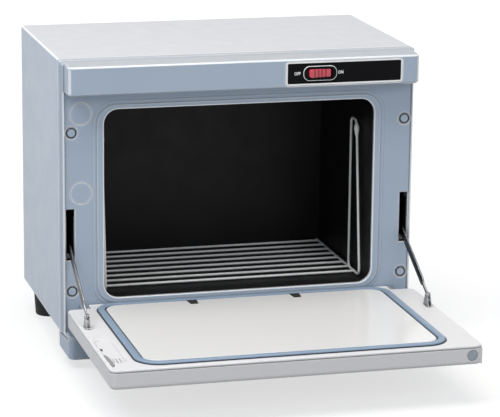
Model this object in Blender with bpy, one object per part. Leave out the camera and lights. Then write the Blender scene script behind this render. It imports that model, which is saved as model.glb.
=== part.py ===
"""Hot towel cabinet: a steel box on rubber feet with a moulded front, a fold-down door on two stays,
a heated chamber with a wire rack, and a rocker switch in the visor.

Lengths are in metres, +Z is up and the door opens towards -Y. Heights are measured from the lower edge
of the steel shell and reaches from its front edge, until up() and front() turn them into the model's
own frame, whose origin lies on the floor under the middle of the cabinet with its door open."""

from math import asin, atan2, cos, degrees, hypot, pi, radians, sin

import bmesh
import bpy
from mathutils import Matrix, Vector

# Gaps and cuts
seat_gap = 0.0003
overrun = 0.006
weld_distance = 0.000003

# Outer shell, a folded steel sheet
shell_width = 0.450
shell_depth = 0.248
shell_height = 0.340
shell_wall = 0.0012
shell_bend = 0.003
shell_flange = 0.013

# Base pan and feet
pan_flange = 0.015
foot_height = 0.038
foot_top_radius = 0.020
foot_foot_radius = 0.0175
foot_edge = 0.002
foot_inset = 0.025
foot_front_side_inset = 0.038
foot_front_inset = 0.035
foot_rear_inset = 0.044
foot_bore_radius = 0.0062
foot_bore_depth = 0.022
foot_screw_head = 0.0050
foot_screw_head_height = 0.0030
foot_screw_radius = 0.0020
foot_screw_reach = 0.0070

# Back panel, its screws and the cord's bush
panel_margin = 0.004
back_corner = 0.004
back_screw_low = 0.032
back_screw_head_inset = 0.032
back_screw_high = shell_height - back_screw_head_inset
back_screw_head = 0.0040
back_screw_head_height = 0.0020
back_screw_radius = 0.0016
back_screw_length = 0.0070
bush_inset = 0.060
bush_place = shell_width / 2 - bush_inset
bush_height = 0.048
bush_flange_radius = 0.0095
bush_nose_radius = 0.0070
bush_neck_radius = 0.0062
bush_bore_radius = 0.0035
bush_flange = 0.0030
bush_reach = 0.0090
bush_inner_reach = 0.0060

# Front frame
frame_wall = 0.0025
frame_taper = 0.0020
frame_rim_width = shell_width - 2 * frame_taper
frame_rim = 0.0021
rim_reach = 0.0205
face_reach = 0.0180
frame_edge = 0.0018
cheek_step_reach = 0.0120
cheek_step = 0.0009
cheek_step_width = 0.0010

# Visor, the band that stands out over the door
visor_inset = 0.004
visor_width = shell_width - 2 * visor_inset
visor_reach = 0.047
visor_drop = 0.0030
visor_height = 0.0352
visor_corner = 0.0060
visor_edge = 0.0016
visor_bottom = shell_height - visor_drop - visor_height

# Opening in the face and its raised lip
opening_margin = 0.053
opening_width = shell_width - 2 * opening_margin
opening_bottom = 0.042
opening_head = 0.0228
opening_top = visor_bottom - opening_head
opening_height = opening_top - opening_bottom
opening_corner = 0.018
lip_side = 0.0135
lip_end = 0.0105
lip_rise = 0.0018
lip_bevel = 0.0006
lip_bead = 0.0012
lip_step = 0.0045
lip_step_rise = 0.0006

# Slots for the stays and round plugs over the frame's screws
slot_inset = 0.0110
slot_place = shell_width / 2 - slot_inset
slot_width = 0.0106
slot_rise = 0.050
slot_bottom = opening_bottom + slot_rise
slot_height = 0.0645
slot_corner = 0.0012
slot_bevel = 0.0008
plug_inset = 0.0130
plug_place = shell_width / 2 - plug_inset
plug_rise = 0.011
plug_low = opening_bottom + plug_rise
plug_fall = 0.0275
plug_high = opening_top - plug_fall
plug_radius = 0.0067
plug_stem_radius = 0.0030
plug_stem_length = 0.0060
plug_head = 0.0014
plug_proud = 0.0004
plug_ring = 0.0016
plug_dish = 0.0005
plug_groove = 0.0011
mark_inset = 0.0247
mark_place = shell_width / 2 - mark_inset
mark_fall = 0.0045
mark_pitch = 0.098
mark_high = opening_top - mark_fall
mark_low = mark_high - mark_pitch
mark_radius = 0.0141
mark_line = 0.0010
mark_depth = 0.0006

# Base rail under the door
rail_inset = 0.004
rail_width = shell_width - 2 * rail_inset
rail_rear_width = shell_width
rail_reach = 0.047
rail_floor_gap = 0.012
rail_drop = foot_height - rail_floor_gap
rail_rise = 0.0030
rail_rear_drop = 0.0195
rail_wall = 0.0030
rail_corner = 0.0065
rail_edge = 0.0020
slit_height = 0.0026
slit_start = 0.0070
slit_end = 0.0390
slit_depth = 0.0022

# Door and its hinge axis; shut, the door's end lies just under the visor
door_inset = 0.0022
door_width = shell_width - 2 * door_inset
door_surface = 0.036
door_thickness = 0.0235
seal_plane = 0.0235
head_gap = 0.0025
hinge_reach = 0.0271
hinge_height = door_surface + seal_plane - hinge_reach
door_reach = visor_bottom - head_gap + 2 * hinge_reach - door_surface - seal_plane
tail_gap = 0.0007
door_tail = rim_reach + tail_gap
door_wall = 0.0025
door_front_corner = 0.0090
door_rear_corner = 0.0080
door_inner_corner = 0.0020
door_edge = 0.0045
door_seam = 0.0007
liner_thickness = 0.0030
liner_edge = 0.0012
notch_width = 0.0298
neck_width = door_width - 2 * notch_width
notch_radius = 0.0117
notch_reach = hinge_reach + notch_radius

# Hinge
hinge_pin_radius = 0.0016
hinge_bush_wall = 0.0007
hinge_bush_length = 0.014
hinge_block_width = 0.020
hinge_block_depth = 0.016
hinge_block_height = 0.0045
ear_gap = 0.0006
ear_top = 0.0030
ear_side_gap = 0.0012
ear_outer_gap = 0.0200
ear_width = notch_width - ear_side_gap - ear_outer_gap

# Gasket, inner panel and clips on the door
gasket_band = 0.0110
gasket_side = 0.0112
gasket_taper = 0.0020
gasket_shoulder_share = 0.6
gasket_corner = 0.030
seal_gap = 0.0004
inner_panel_rise = 0.0020
inner_panel_edge = 0.0007
inner_panel_gap = 0.0008
clip_share = 0.192
clip_place = opening_width * clip_share
clip_width = 0.0125
clip_depth = 0.0160
clip_draft = 0.0020
clip_thickness = 0.0022

# Finger grip in the door's left margin
grip_length = 0.096
grip_inset = 0.028
grip_end = door_reach - grip_inset
grip_start = grip_end - grip_length
grip_side_inset = 0.004
grip_width = 0.023
grip_outer = door_width / 2 - grip_side_inset
grip_inner = grip_outer - grip_width
grip_scoop = 0.0016
grip_scoop_corner = 0.010
grip_slot_width = 0.0062
grip_slot_bow = 0.6
grip_slot_depth = 0.0130
grip_slot_nose = 0.014
grip_slot_length = 0.055
grip_slot_end = door_reach - grip_slot_nose
grip_slot_start = grip_slot_end - grip_slot_length
grip_wall = 0.0020
grip_rib_count = 3
grip_rib_pitch = 0.0042
grip_rib_width = 0.0014
grip_rib_length = 0.020
grip_rib_rise = 0.0010

# Magnet catch
magnet_radius = 0.0065
magnet_thickness = 0.0050
magnet_inset = 0.0135
magnet_proud = 0.0003
magnet_wall = 0.0025
catch_plate_length = 0.018
catch_plate_width = 0.012
catch_plate_thickness = 0.0012

# Stays, their brackets on the door and their guides behind the slots
stay_pin_arm = 0.0919
stay_pin_reach = hinge_reach + stay_pin_arm
stay_pin_rise = 0.013
stay_thickness = 0.0020
stay_height = 0.0110
stay_neck = 0.0044
stay_neck_length = 0.020
stay_shoulder = 0.006
stay_eye_radius = 0.0034
stay_hook = 0.0060
stay_hook_thickness = 0.0035
stay_catch_gap = 0.0006
stay_closed_angle = radians(-8)
bracket_gap = 0.0005
bracket_wall = 0.0011
bracket_length = 0.018
bracket_ear = 0.0036
stay_pin_radius = 0.0013
stay_pin_head = 0.0023
stay_pin_head_thickness = 0.0008
rest_radius = 0.0040
rest_end_radius = 0.0020
rest_reach = 0.0110
guide_width = 0.0088
guide_wall = 0.0012
guide_depth = 0.026
guide_foot = 0.0020
guide_height = 0.058

# Towel chamber, insulation and heater
chamber_wall = 0.0010
chamber_rear_gap = 0.022
chamber_depth = shell_depth - chamber_rear_gap
chamber_flange = 0.0080
chamber_corner = 0.0080
blanket_thickness = 0.0110
blanket_front_gap = 0.012
heater_margin = 0.027
heater_width = opening_width - 2 * heater_margin
heater_depth = chamber_depth - 2 * heater_margin
heater_corner = 0.012
heater_thickness = 0.0030
heater_place = chamber_depth / 2 - face_reach
thermostat_radius = 0.0080
thermostat_cap_radius = 0.0110
thermostat_cap = 0.0030
thermostat_height = 0.0150
control_share = 0.21
thermostat_place = heater_width * control_share
fuse_radius = 0.0022
fuse_length = 0.016
fuse_pad = 0.0012
fuse_place = -heater_width * control_share
window_margin = 0.0030
terminal_pole = 0.0120
terminal_poles = 3
terminal_depth = 0.0160
terminal_height = 0.0140
terminal_groove = 0.0020
terminal_inset = 0.045

# Wire rack
wire_radius = 0.0016
rack_inset = 0.007
rack_width = opening_width - 2 * rack_inset
rack_floor_gap = 0.0005
rack_front = 0.006
rack_lean = 0.024
rack_upright = 0.052
rack_rear_gap = 0.030
rack_back = chamber_depth - rack_rear_gap
rack_head_gap = 0.039
rack_height = opening_height - rack_head_gap
rack_bend = 0.010
rack_cross_count = 8
runner_share = 0.95
rack_tip_radius = 0.0034
rack_tip_length = 0.016
rack_tip_shares = ((0.2, 0.8), (0.4, 1.0), (0.8, 0.6))

# Control panel and switch
panel_width = 0.1455
panel_height = 0.0255
panel_inset = 0.02475
panel_place = visor_width / 2 - panel_inset - panel_width / 2
panel_rise = 0.0172
panel_centre = visor_bottom + panel_rise
panel_corner = 0.0016
panel_thickness = 0.0015
border_width = 0.0018
border_proud = 0.0005
switch_offset = 0.0317
switch_place = panel_place - switch_offset
bezel_width = 0.0424
bezel_height = 0.0180
bezel_corner = 0.0080
bezel_rise = 0.0016
bezel_edge = 0.0006
switch_body_width = 0.0375
switch_body_height = 0.0140
switch_body_corner = 0.0020
switch_body_depth = 0.0220
switch_pocket_depth = 0.0120
rocker_width = 0.0290
rocker_height = 0.0106
rocker_front = 0.0034
rocker_dip = 0.0012
rocker_side = 0.0030
rocker_belly = 0.0075
rocker_pivot_depth = 0.0022
rocker_swing_gap = 0.0007
rocker_gap = 0.0004
rocker_tilt = radians(7)

# Smoothness of round shapes
corner_steps = 5
round_share = 1 / 3
turn_steps = 24
small_turn_steps = 12
wire_sides = 6

# Places worked out from the sizes above
lip_reach = face_reach + lip_rise
face_back = face_reach - frame_wall
rear_reach = shell_depth + seat_gap + shell_wall + bush_reach
shell_front = (door_reach + magnet_proud - rear_reach) / 2
seal_shift = hinge_reach - hinge_height
gasket_rear = opening_bottom - lip_end / 2 + seal_shift - gasket_band / 2
gasket_front = opening_top + lip_end / 2 + seal_shift + gasket_band / 2
gasket_width = opening_width + 2 * gasket_side + gasket_band
gasket_height = seal_plane - lip_reach - seal_gap
stay_pin_height = door_surface + stay_pin_rise
rest_height = slot_bottom + rest_radius + seat_gap
stay_run = stay_pin_reach - rest_reach
stay_fall = rest_height - stay_pin_height
stay_offset = rest_radius + stay_height / 2 + seat_gap
stay_angle = atan2(stay_fall, stay_run) + asin(stay_offset / hypot(stay_run, stay_fall))
stay_length = (stay_run * cos(stay_angle) + stay_fall * sin(stay_angle)
               + rest_radius + stay_catch_gap + stay_hook_thickness)
chamber_bottom = opening_bottom - chamber_wall


def front(reach):
    """The Y of a plane that stands this far in front of the shell's front edge."""
    return shell_front - reach


def up(height):
    """The Z of a level this far above the shell's lower edge."""
    return foot_height + height


# Outlines


def left_of(direction):
    return Vector((-direction.y, direction.x))


def outline(corners, radii, inset=0.0):
    """Round the corners of a square-cornered outline, given anticlockwise, and draw it in by inset."""
    points = []
    for index, corner in enumerate(corners):
        before = Vector(corners[index - 1])
        here = Vector(corner)
        after = Vector(corners[(index + 1) % len(corners)])
        arriving = (here - before).normalized()
        leaving = (after - here).normalized()
        turn = 1 if arriving.cross(leaving) > 0 else -1
        inward = left_of(arriving) + left_of(leaving)
        if radii[index] == 0:
            points.append(here + inward * inset)
            continue
        radius = max(radii[index] - turn * inset, seat_gap)
        centre = here + inward * (inset + turn * radius)
        for step in range(corner_steps + 1):
            angle = pi / 2 * step / corner_steps
            arm = left_of(arriving) * cos(angle) + left_of(leaving) * sin(angle)
            points.append(centre - arm * radius * turn)
    return points


def rectangle(width, height, radius, middle=(0.0, 0.0), inset=0.0):
    """A rounded rectangle about its middle."""
    across, along = width / 2, height / 2
    corners = [(middle[0] - across, middle[1] - along), (middle[0] + across, middle[1] - along),
               (middle[0] + across, middle[1] + along), (middle[0] - across, middle[1] + along)]
    return outline(corners, [radius] * len(corners), inset)


def circle(radius, steps, middle=(0.0, 0.0)):
    return [Vector((middle[0] + radius * cos(2 * pi * step / steps),
                    middle[1] + radius * sin(2 * pi * step / steps))) for step in range(steps)]


def laid(points, height):
    """Lay an outline of X and Y flat at a height."""
    return [Vector((point[0], point[1], height)) for point in points]


def stood(points, place):
    """Stand an outline of X and Z up in a plane of constant Y."""
    return [Vector((point[0], place, point[1])) for point in points]


def sided(points, place):
    """Stand an outline of Y and Z up in a plane of constant X."""
    return [Vector((place, point[0], point[1])) for point in points]


# Solids


def solid(name, mesh_data):
    """Make an object whose faces point out and whose round faces look smooth."""
    bmesh.ops.remove_doubles(mesh_data, verts=mesh_data.verts, dist=weld_distance)
    bmesh.ops.recalc_face_normals(mesh_data, faces=mesh_data.faces)
    mesh = bpy.data.meshes.new(name)
    mesh_data.to_mesh(mesh)
    mesh_data.free()
    mesh.shade_smooth()
    mesh.set_sharp_from_angle(angle=radians(35))
    piece = bpy.data.objects.new(name, mesh)
    bpy.context.collection.objects.link(piece)
    return piece


def loft(name, loops, endless=False):
    """Skin a row of loops with equal counts; the row closes on itself, or its two ends are capped."""
    mesh_data = bmesh.new()
    rows = [[mesh_data.verts.new(point) for point in loop] for loop in loops]
    pairs = list(zip(rows, rows[1:]))
    if endless:
        pairs.append((rows[-1], rows[0]))
    else:
        mesh_data.faces.new(rows[0])
        mesh_data.faces.new(rows[-1])
    for low, high in pairs:
        for index in range(len(low)):
            after = (index + 1) % len(low)
            mesh_data.faces.new((low[index], low[after], high[after], high[index]))
    return solid(name, mesh_data)


def turned(name, profile, middle, axis, steps, endless=False):
    """Turn a profile of radius and distance along the axis; endless makes a ring, or else a rod."""
    spin = axis.to_track_quat('Z', 'X')
    loops = []
    for radius, along in profile:
        ring = laid(circle(radius, steps), along)
        loops.append([middle + spin @ point for point in ring])
    return loft(name, loops, endless)


def rod(name, start, end, radius, steps):
    return turned(name, [(radius, 0.0), (radius, (end - start).length)], start, end - start, steps)


def box(name, low, high):
    corners = [(low[0], low[1]), (high[0], low[1]), (high[0], high[1]), (low[0], high[1])]
    return loft(name, [laid(corners, low[2]), laid(corners, high[2])])


def wire(name, path, radius):
    """A round wire along an endless path that lies in one YZ plane."""
    loops = []
    for index, place in enumerate(path):
        ahead = (path[(index + 1) % len(path)] - path[index - 1]).normalized()
        across = Vector((1.0, 0.0, 0.0))
        upward = ahead.cross(across)
        loops.append([place + across * ring.x * radius + upward * ring.y * radius
                      for ring in circle(1.0, wire_sides)])
    return loft(name, loops, endless=True)


def shape(piece, tool, operation):
    """Join a tool to a piece or cut it out, and leave the tool as a wire guide."""
    modifier = piece.modifiers.new(tool.name, 'BOOLEAN')
    modifier.operation = operation
    modifier.solver = 'EXACT'
    modifier.object = tool
    tool.hide_render = True
    tool.display_type = 'WIRE'


def join(piece, *tools):
    for tool in tools:
        shape(piece, tool, 'UNION')


def cut(piece, *tools):
    for tool in tools:
        shape(piece, tool, 'DIFFERENCE')


# Finishes


def finish(name, colour, roughness, metallic=0.0):
    material = bpy.data.materials.new(name)
    material.use_nodes = True
    shader = material.node_tree.nodes['Principled BSDF']
    shader.inputs['Base Color'].default_value = (*colour, 1.0)
    shader.inputs['Roughness'].default_value = roughness
    shader.inputs['Metallic'].default_value = metallic
    material.diffuse_color = (*colour, 1.0)
    return material


# Carriers: each moving group hangs on an empty that stands on its joint's axis


def carrier(name, place, parent=None):
    empty = bpy.data.objects.new(name, None)
    bpy.context.collection.objects.link(empty)
    empty['stands_at'] = place
    base = Vector(parent['stands_at']) if parent else Vector((0.0, 0.0, 0.0))
    empty.parent = parent
    empty.location = Vector(place) - base
    return empty


def mount(piece, empty, material):
    """Hang a piece on its carrier, with its origin there, and give it its finish."""
    place = Vector(empty['stands_at'])
    piece.data.transform(Matrix.Translation(-place))
    piece.parent = empty
    piece.data.materials.append(material)
    return piece


def clear_scene():
    for old in list(bpy.data.objects):
        bpy.data.objects.remove(old, do_unlink=True)


# Steel box


def make_shell(cabinet, paint):
    """The folded wrap of top and sides, with a flange turned in at the rear for the back panel."""
    half = shell_width / 2
    corners = [(-half, up(0.0)), (half, up(0.0)), (half, up(shell_height)), (-half, up(shell_height))]
    bends = [0, 0, shell_bend, shell_bend]
    rear = front(-shell_depth)
    piece = loft('outer_shell', [stood(outline(corners, bends), front(0.0)),
                                 stood(outline(corners, bends), rear)])
    inside = [(-half, up(-overrun)), (half, up(-overrun)), corners[2], corners[3]]
    room = loft('shell_room', [stood(outline(inside, bends, shell_wall), front(overrun)),
                               stood(outline(inside, bends, shell_wall), rear - shell_wall)])
    window = loft('shell_window', [
        stood(outline(inside, bends, shell_flange), rear - shell_wall - overrun),
        stood(outline(inside, bends, shell_flange), rear + overrun)])
    cut(piece, room, window)
    return mount(piece, cabinet, paint)


def make_base_pan(cabinet, steel):
    half = shell_width / 2 - shell_wall - seat_gap
    near, far = front(-seat_gap), front(-shell_depth) - shell_wall - seat_gap
    floor = up(0.0)
    piece = box('base_pan', (-half, near, floor), (half, far, up(pan_flange)))
    room = box('pan_room', (-half + shell_wall, near + shell_wall, floor + shell_wall),
               (half - shell_wall, far - shell_wall, up(pan_flange) + overrun))
    cut(piece, room)
    return mount(piece, cabinet, steel)


def foot_places():
    near_side, far_side = shell_width / 2 - foot_front_side_inset, shell_width / 2 - foot_inset
    near = front(-foot_front_inset)
    far = front(-shell_depth) - foot_rear_inset
    return {'front_left': (-near_side, near), 'front_right': (near_side, near),
            'rear_left': (-far_side, far), 'rear_right': (far_side, far)}


def make_feet(cabinet, base_pan, rubber, steel):
    """Tapered rubber feet, each held by a screw whose head is sunk in the foot's bore."""
    top = up(0.0) - seat_gap
    head_seat = top - foot_height + seat_gap + foot_bore_depth
    hole_radius = foot_screw_radius + seat_gap
    for place, (across, along) in foot_places().items():
        middle = Vector((across, along, 0.0))
        profile = [(foot_bore_radius, 0.0), (foot_foot_radius - foot_edge, 0.0),
                   (foot_foot_radius, foot_edge), (foot_top_radius, top), (hole_radius, top),
                   (hole_radius, foot_bore_depth), (foot_bore_radius, foot_bore_depth)]
        foot = turned('foot_' + place, profile, middle, Vector((0.0, 0.0, 1.0)), turn_steps, endless=True)
        mount(foot, cabinet, rubber)
        head_top = head_seat - seat_gap
        screw = turned('foot_screw_' + place,
                       [(foot_screw_head, head_top - foot_screw_head_height), (foot_screw_head, head_top),
                        (foot_screw_radius, head_top), (foot_screw_radius, up(foot_screw_reach))],
                       middle, Vector((0.0, 0.0, 1.0)), small_turn_steps)
        mount(screw, cabinet, steel)
        hole = rod('pan_hole_' + place, Vector((across, along, up(-overrun))),
                   Vector((across, along, up(overrun))), hole_radius, small_turn_steps)
        cut(base_pan, hole)


def make_back(cabinet, shell, paint, steel, black):
    """The back panel lies on the shell's rear flange, with its screws and the bush for the cord."""
    inner, outer = front(-shell_depth) + seat_gap, front(-shell_depth) + seat_gap + shell_wall
    middle = (0.0, up(shell_height / 2))
    sheet = rectangle(shell_width - 2 * panel_margin, shell_height - 2 * panel_margin, back_corner, middle)
    panel = loft('back_panel', [stood(sheet, inner), stood(sheet, outer)])
    mount(panel, cabinet, paint)
    backward = Vector((0.0, 1.0, 0.0))
    side = shell_width / 2 - shell_flange / 2
    number = 0
    for across in (-side, side):
        for height in (back_screw_low, back_screw_high):
            number += 1
            tail = Vector((across, outer + seat_gap - back_screw_length, up(height)))
            screw = turned('back_screw_%d' % number,
                           [(back_screw_radius, 0.0), (back_screw_radius, back_screw_length),
                            (back_screw_head, back_screw_length),
                            (back_screw_head, back_screw_length + back_screw_head_height / 2),
                            (back_screw_head / 2, back_screw_length + back_screw_head_height)],
                           tail, backward, small_turn_steps)
            mount(screw, cabinet, steel)
            hole = rod('back_hole_%d' % number, tail - backward * overrun, tail + backward * 2 * overrun,
                       back_screw_radius + seat_gap, small_turn_steps)
            cut(panel, hole)
            cut(shell, hole)
    inlet = Vector((bush_place, outer, up(bush_height)))
    hole = rod('bush_hole', inlet - backward * overrun, inlet + backward * overrun,
               bush_neck_radius + seat_gap, turn_steps)
    cut(panel, hole)
    inner_lip = -shell_wall - seat_gap
    bush = turned('cord_inlet_bush',
                  [(bush_bore_radius, inner_lip - bush_inner_reach),
                   (bush_neck_radius, inner_lip - bush_inner_reach),
                   (bush_nose_radius, inner_lip), (bush_neck_radius, inner_lip),
                   (bush_neck_radius, seat_gap), (bush_flange_radius, seat_gap),
                   (bush_flange_radius, bush_flange), (bush_nose_radius, bush_flange),
                   (bush_neck_radius, bush_reach), (bush_bore_radius, bush_reach)],
                  inlet, backward, turn_steps, endless=True)
    mount(bush, cabinet, black)


# Moulded front


def opening_outline(side, end, radius):
    """The opening's outline, grown by side at its sides and by end at its top and bottom."""
    middle = (0.0, up((opening_bottom + opening_top) / 2))
    return rectangle(opening_width + 2 * side, opening_height + 2 * end, radius, middle)


def make_frame_block():
    """The frame's outside: cheeks that taper forward, and the visor with rounded corners on top."""
    half, rim_half = shell_width / 2, frame_rim_width / 2
    top, rim_top = up(shell_height), up(shell_height - visor_drop / 2)
    base = up(0.0)

    def ring(across, crown, reach):
        corners = [(-across, base), (across, base), (across, crown), (-across, crown)]
        return stood(outline(corners, [0, 0, shell_bend, shell_bend]), front(reach))

    step_end = cheek_step_reach + cheek_step_width
    block = loft('front_frame', [ring(half, top, seat_gap), ring(half, top, cheek_step_reach),
                                 ring(half - cheek_step, top - cheek_step, step_end),
                                 ring(rim_half, rim_top - cheek_step, rim_reach - frame_edge),
                                 ring(rim_half - frame_edge / 2, rim_top - frame_edge, rim_reach)])
    start = (rim_reach + face_reach) / 2
    slope = visor_drop / 2 / (visor_reach - rim_reach)

    def shelf(inset, height, rise):
        """The visor's plan at one level; rise tilts its top down towards the front."""
        across = visor_width / 2
        corners = [(-across, front(visor_reach)), (across, front(visor_reach)),
                   (across, front(start)), (-across, front(start))]
        flat = outline(corners, [visor_corner, visor_corner, 0, 0], inset)
        return [Vector((point.x, min(point.y, front(start)),
                        height + (point.y - front(visor_reach)) * slope * rise)) for point in flat]

    low, high = up(visor_bottom), up(shell_height - visor_drop)
    visor = loft('visor_block', [shelf(visor_edge, low, 0), shelf(0.0, low + visor_edge, 0),
                                 shelf(0.0, high - visor_edge, 1), shelf(visor_edge, high, 1)])
    join(block, visor)
    return block


def turn_of_lip(side, end, reach):
    """One turn round the opening, grown by side and end, at one reach."""
    return stood(opening_outline(side, end, opening_corner + max(end, 0.0)), front(reach))


def make_opening_tool():
    """The opening's cutter, which flares forward to leave the lip's inner edge rounded."""
    bend = lip_bead * round_share
    flare = lip_bead + lip_bead - bend
    return loft('face_opening', [turn_of_lip(flare, flare, lip_reach + bend),
                                 turn_of_lip(bend, bend, lip_reach - bend),
                                 turn_of_lip(0.0, 0.0, lip_reach - lip_bead),
                                 turn_of_lip(0.0, 0.0, face_back - overrun)])


def make_lip():
    """The raised lip: a low outer step, and a flat inner band for the gasket."""
    root = face_reach - seat_gap
    step_side, step_end = lip_side - lip_step, lip_end - lip_step
    crest = face_reach + lip_step_rise
    return loft('lip_ring', [turn_of_lip(lip_side, lip_end, root),
                             turn_of_lip(lip_side, lip_end, crest - lip_step_rise / 2),
                             turn_of_lip(lip_side - lip_bevel, lip_end - lip_bevel, crest),
                             turn_of_lip(step_side, step_end, crest),
                             turn_of_lip(step_side - lip_bevel, step_end - lip_bevel, lip_reach),
                             turn_of_lip(-lip_bevel, -lip_bevel, lip_reach),
                             turn_of_lip(-lip_bevel, -lip_bevel, root)], endless=True)


def make_front_frame(cabinet, plastic):
    """The one-piece moulding of visor, face, lip and cheeks, hollow towards the shell."""
    frame = make_frame_block()
    inner_half = frame_rim_width / 2 - frame_rim
    recess = box('face_recess', (-inner_half, front(rim_reach + overrun), up(-overrun)),
                 (inner_half, front(face_reach), up(visor_bottom)))
    cut(frame, recess)
    join(frame, make_lip())
    room_half = frame_rim_width / 2 - frame_wall
    face_room = box('face_room', (-room_half, front(face_back), up(frame_wall)),
                    (room_half, front(-overrun), up(shell_height - visor_drop - frame_wall)))
    visor_half = visor_width / 2 - frame_wall
    visor_room = box('visor_room',
                     (-visor_half, front(visor_reach - frame_wall), up(visor_bottom + frame_wall)),
                     (visor_half, front(face_back - frame_wall),
                      up(shell_height - visor_drop - frame_wall)))
    cut(frame, face_room, visor_room, make_opening_tool())
    for side in (-1, 1):
        middle = (side * slot_place, up(slot_bottom + slot_height / 2))
        slot = rectangle(slot_width, slot_height, slot_corner, middle)
        mouth = rectangle(slot_width, slot_height, slot_corner, middle, -slot_bevel)
        cut(frame, loft('stay_slot', [stood(mouth, front(face_reach + overrun)),
                                      stood(mouth, front(face_reach)),
                                      stood(slot, front(face_reach - slot_bevel)),
                                      stood(slot, front(face_back - overrun))]))
        for height in (plug_low, plug_high):
            seat_reach = face_reach - plug_head + plug_proud - seat_gap
            seat = Vector((side * plug_place, front(seat_reach), up(height)))
            outward = Vector((0.0, -1.0, 0.0))
            counterbore = rod('plug_seat', seat, seat + outward * overrun, plug_radius + plug_groove,
                              turn_steps)
            hole = rod('plug_hole', seat - outward * overrun, seat + outward * overrun,
                       plug_stem_radius + seat_gap, small_turn_steps)
            cut(frame, counterbore, hole)
    for height in (mark_low, mark_high):
        centre = Vector((-mark_place, front(face_reach - mark_depth), up(height)))
        ring = turned('face_mark', [(mark_radius - mark_line, 0.0), (mark_radius, 0.0),
                                    (mark_radius, overrun), (mark_radius - mark_line, overrun)],
                      centre, Vector((0.0, -1.0, 0.0)), turn_steps, endless=True)
        cut(frame, ring)
    middle = (panel_place, up(panel_centre))
    seat = rectangle(panel_width + 2 * border_width, panel_height + 2 * border_width,
                     panel_corner + border_width, middle, -seat_gap)
    panel_seat = loft('panel_seat', [stood(seat, front(visor_reach + overrun)),
                                     stood(seat, front(visor_reach - panel_thickness - seat_gap))])
    cut(frame, panel_seat, make_switch_hole('visor_switch_hole'))
    return mount(frame, cabinet, plastic)


def make_switch_hole(name):
    hole = rectangle(switch_body_width, switch_body_height, switch_body_corner,
                     (switch_place, up(panel_centre)), -seat_gap)
    return loft(name, [stood(hole, front(visor_reach + overrun)), stood(hole, front(visor_reach - overrun))])


def make_plugs(cabinet, plastic):
    """Round plugs that hide the frame's fixing screws: a raised ring round a dished middle."""
    for side, side_name in ((-1, 'left'), (1, 'right')):
        for height, level in ((plug_low, 'lower'), (plug_high, 'upper')):
            back = Vector((side * plug_place, front(face_reach - plug_head + plug_proud), up(height)))
            plug = turned('face_plug_%s_%s' % (level, side_name),
                          [(plug_stem_radius, -plug_stem_length), (plug_stem_radius, 0.0),
                           (plug_radius, 0.0), (plug_radius, plug_head), (plug_radius - plug_ring, plug_head),
                           (plug_radius - plug_ring - plug_dish, plug_head - plug_dish)],
                          back, Vector((0.0, -1.0, 0.0)), turn_steps)
            mount(plug, cabinet, plastic)


def rail_section(reach, width, low, high):
    """An upright section of the rail across its width, at one reach."""
    half = width / 2
    return stood([(-half, low), (half, low), (half, high), (-half, high)], front(reach))


def rail_solid(name, near, high, wall=0.0):
    """The rail's wedge: as wide as the shell behind, narrower and deeper in front, with round corners."""
    rear_low, low = up(-rail_rear_drop) - wall * 2, up(-rail_drop) - wall * 2
    width, rear_width = rail_width - 2 * wall, rail_rear_width - 2 * wall
    shoulder = rail_reach - wall - rail_corner
    share = (shoulder - near) / (rail_reach - near)
    sections = [rail_section(near, rear_width, rear_low, high)]
    for step in range(corner_steps + 1):
        angle = pi / 2 * step / corner_steps
        reach = shoulder + rail_corner * sin(angle)
        draw = rail_corner * (1 - cos(angle))
        along = share + (1 - share) * step / corner_steps
        across = rear_width + (width - rear_width) * along - 2 * draw
        sections.append(rail_section(reach, across, rear_low + (low - rear_low) * along, high))
    return loft(name, sections)


def make_base_rail(cabinet, plastic):
    """The lower moulding: a hollow skirt, a shelf under the door and two ears that hold the hinge pins."""
    step = rim_reach + seat_gap
    seam, high = up(-seat_gap), up(rail_rise)
    rail = rail_solid('base_rail', seat_gap, seam)
    inset = seat_gap
    shelf = loft('rail_shelf', [laid(rail_top(step, inset), seam - rail_edge),
                                laid(rail_top(step, inset), high - rail_edge / 2),
                                laid(rail_top(step, inset + rail_edge / 2), high)])
    join(rail, shelf)
    for side in (-1, 1):
        ear = make_ear('ear_block', side, seam - rail_edge + seat_gap)
        join(rail, ear)
    under = rail_solid('rail_room', seat_gap - overrun, seam - rail_wall, rail_wall)
    cut(rail, under)
    for side in (-1, 1):
        outer = side * (rail_width / 2 + overrun)
        inner = side * (rail_width / 2 - slit_depth)
        slit = box('side_slit', (min(outer, inner), front(slit_end), seam - slit_height),
                   (max(outer, inner), front(slit_start), seam - seat_gap))
        cut(rail, slit)
        pin_hole = rod('ear_hole', Vector((side * (neck_width / 2), front(hinge_reach), up(hinge_height))),
                       Vector((side * (neck_width / 2 + ear_side_gap + ear_width / 2), front(hinge_reach),
                               up(hinge_height))), hinge_pin_radius + seat_gap, small_turn_steps)
        cut(rail, pin_hole)
    return mount(rail, cabinet, plastic)


def rail_top(near, inset):
    """The plan of the rail's shelf, which starts in front of the frame's rim."""
    half = rail_width / 2
    far, near = front(rail_reach), front(near)
    corners = [(-half, far), (half, far), (half, near), (-half, near)]
    return outline(corners, [rail_corner, rail_corner, 0, 0], inset)


def make_ear(name, side, low):
    """A hinge ear: upright behind, rounded about the hinge axis in front, where the door swings past."""
    radius = notch_reach - hinge_reach - ear_gap
    rise = asin(ear_top / radius)
    profile = [(front(rim_reach + seat_gap), low), (front(rim_reach + seat_gap), up(hinge_height + ear_top))]
    for step in range(corner_steps + 1):
        angle = pi - rise + rise * step / corner_steps
        profile.append((front(hinge_reach) + radius * cos(angle), up(hinge_height) + radius * sin(angle)))
    profile.append((front(hinge_reach) - radius, low))
    inner = side * (neck_width / 2 + ear_side_gap)
    outer = inner + side * ear_width
    return loft(name, [sided(profile, inner), sided(profile, outer)])


# Door, drawn open as in use


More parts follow.
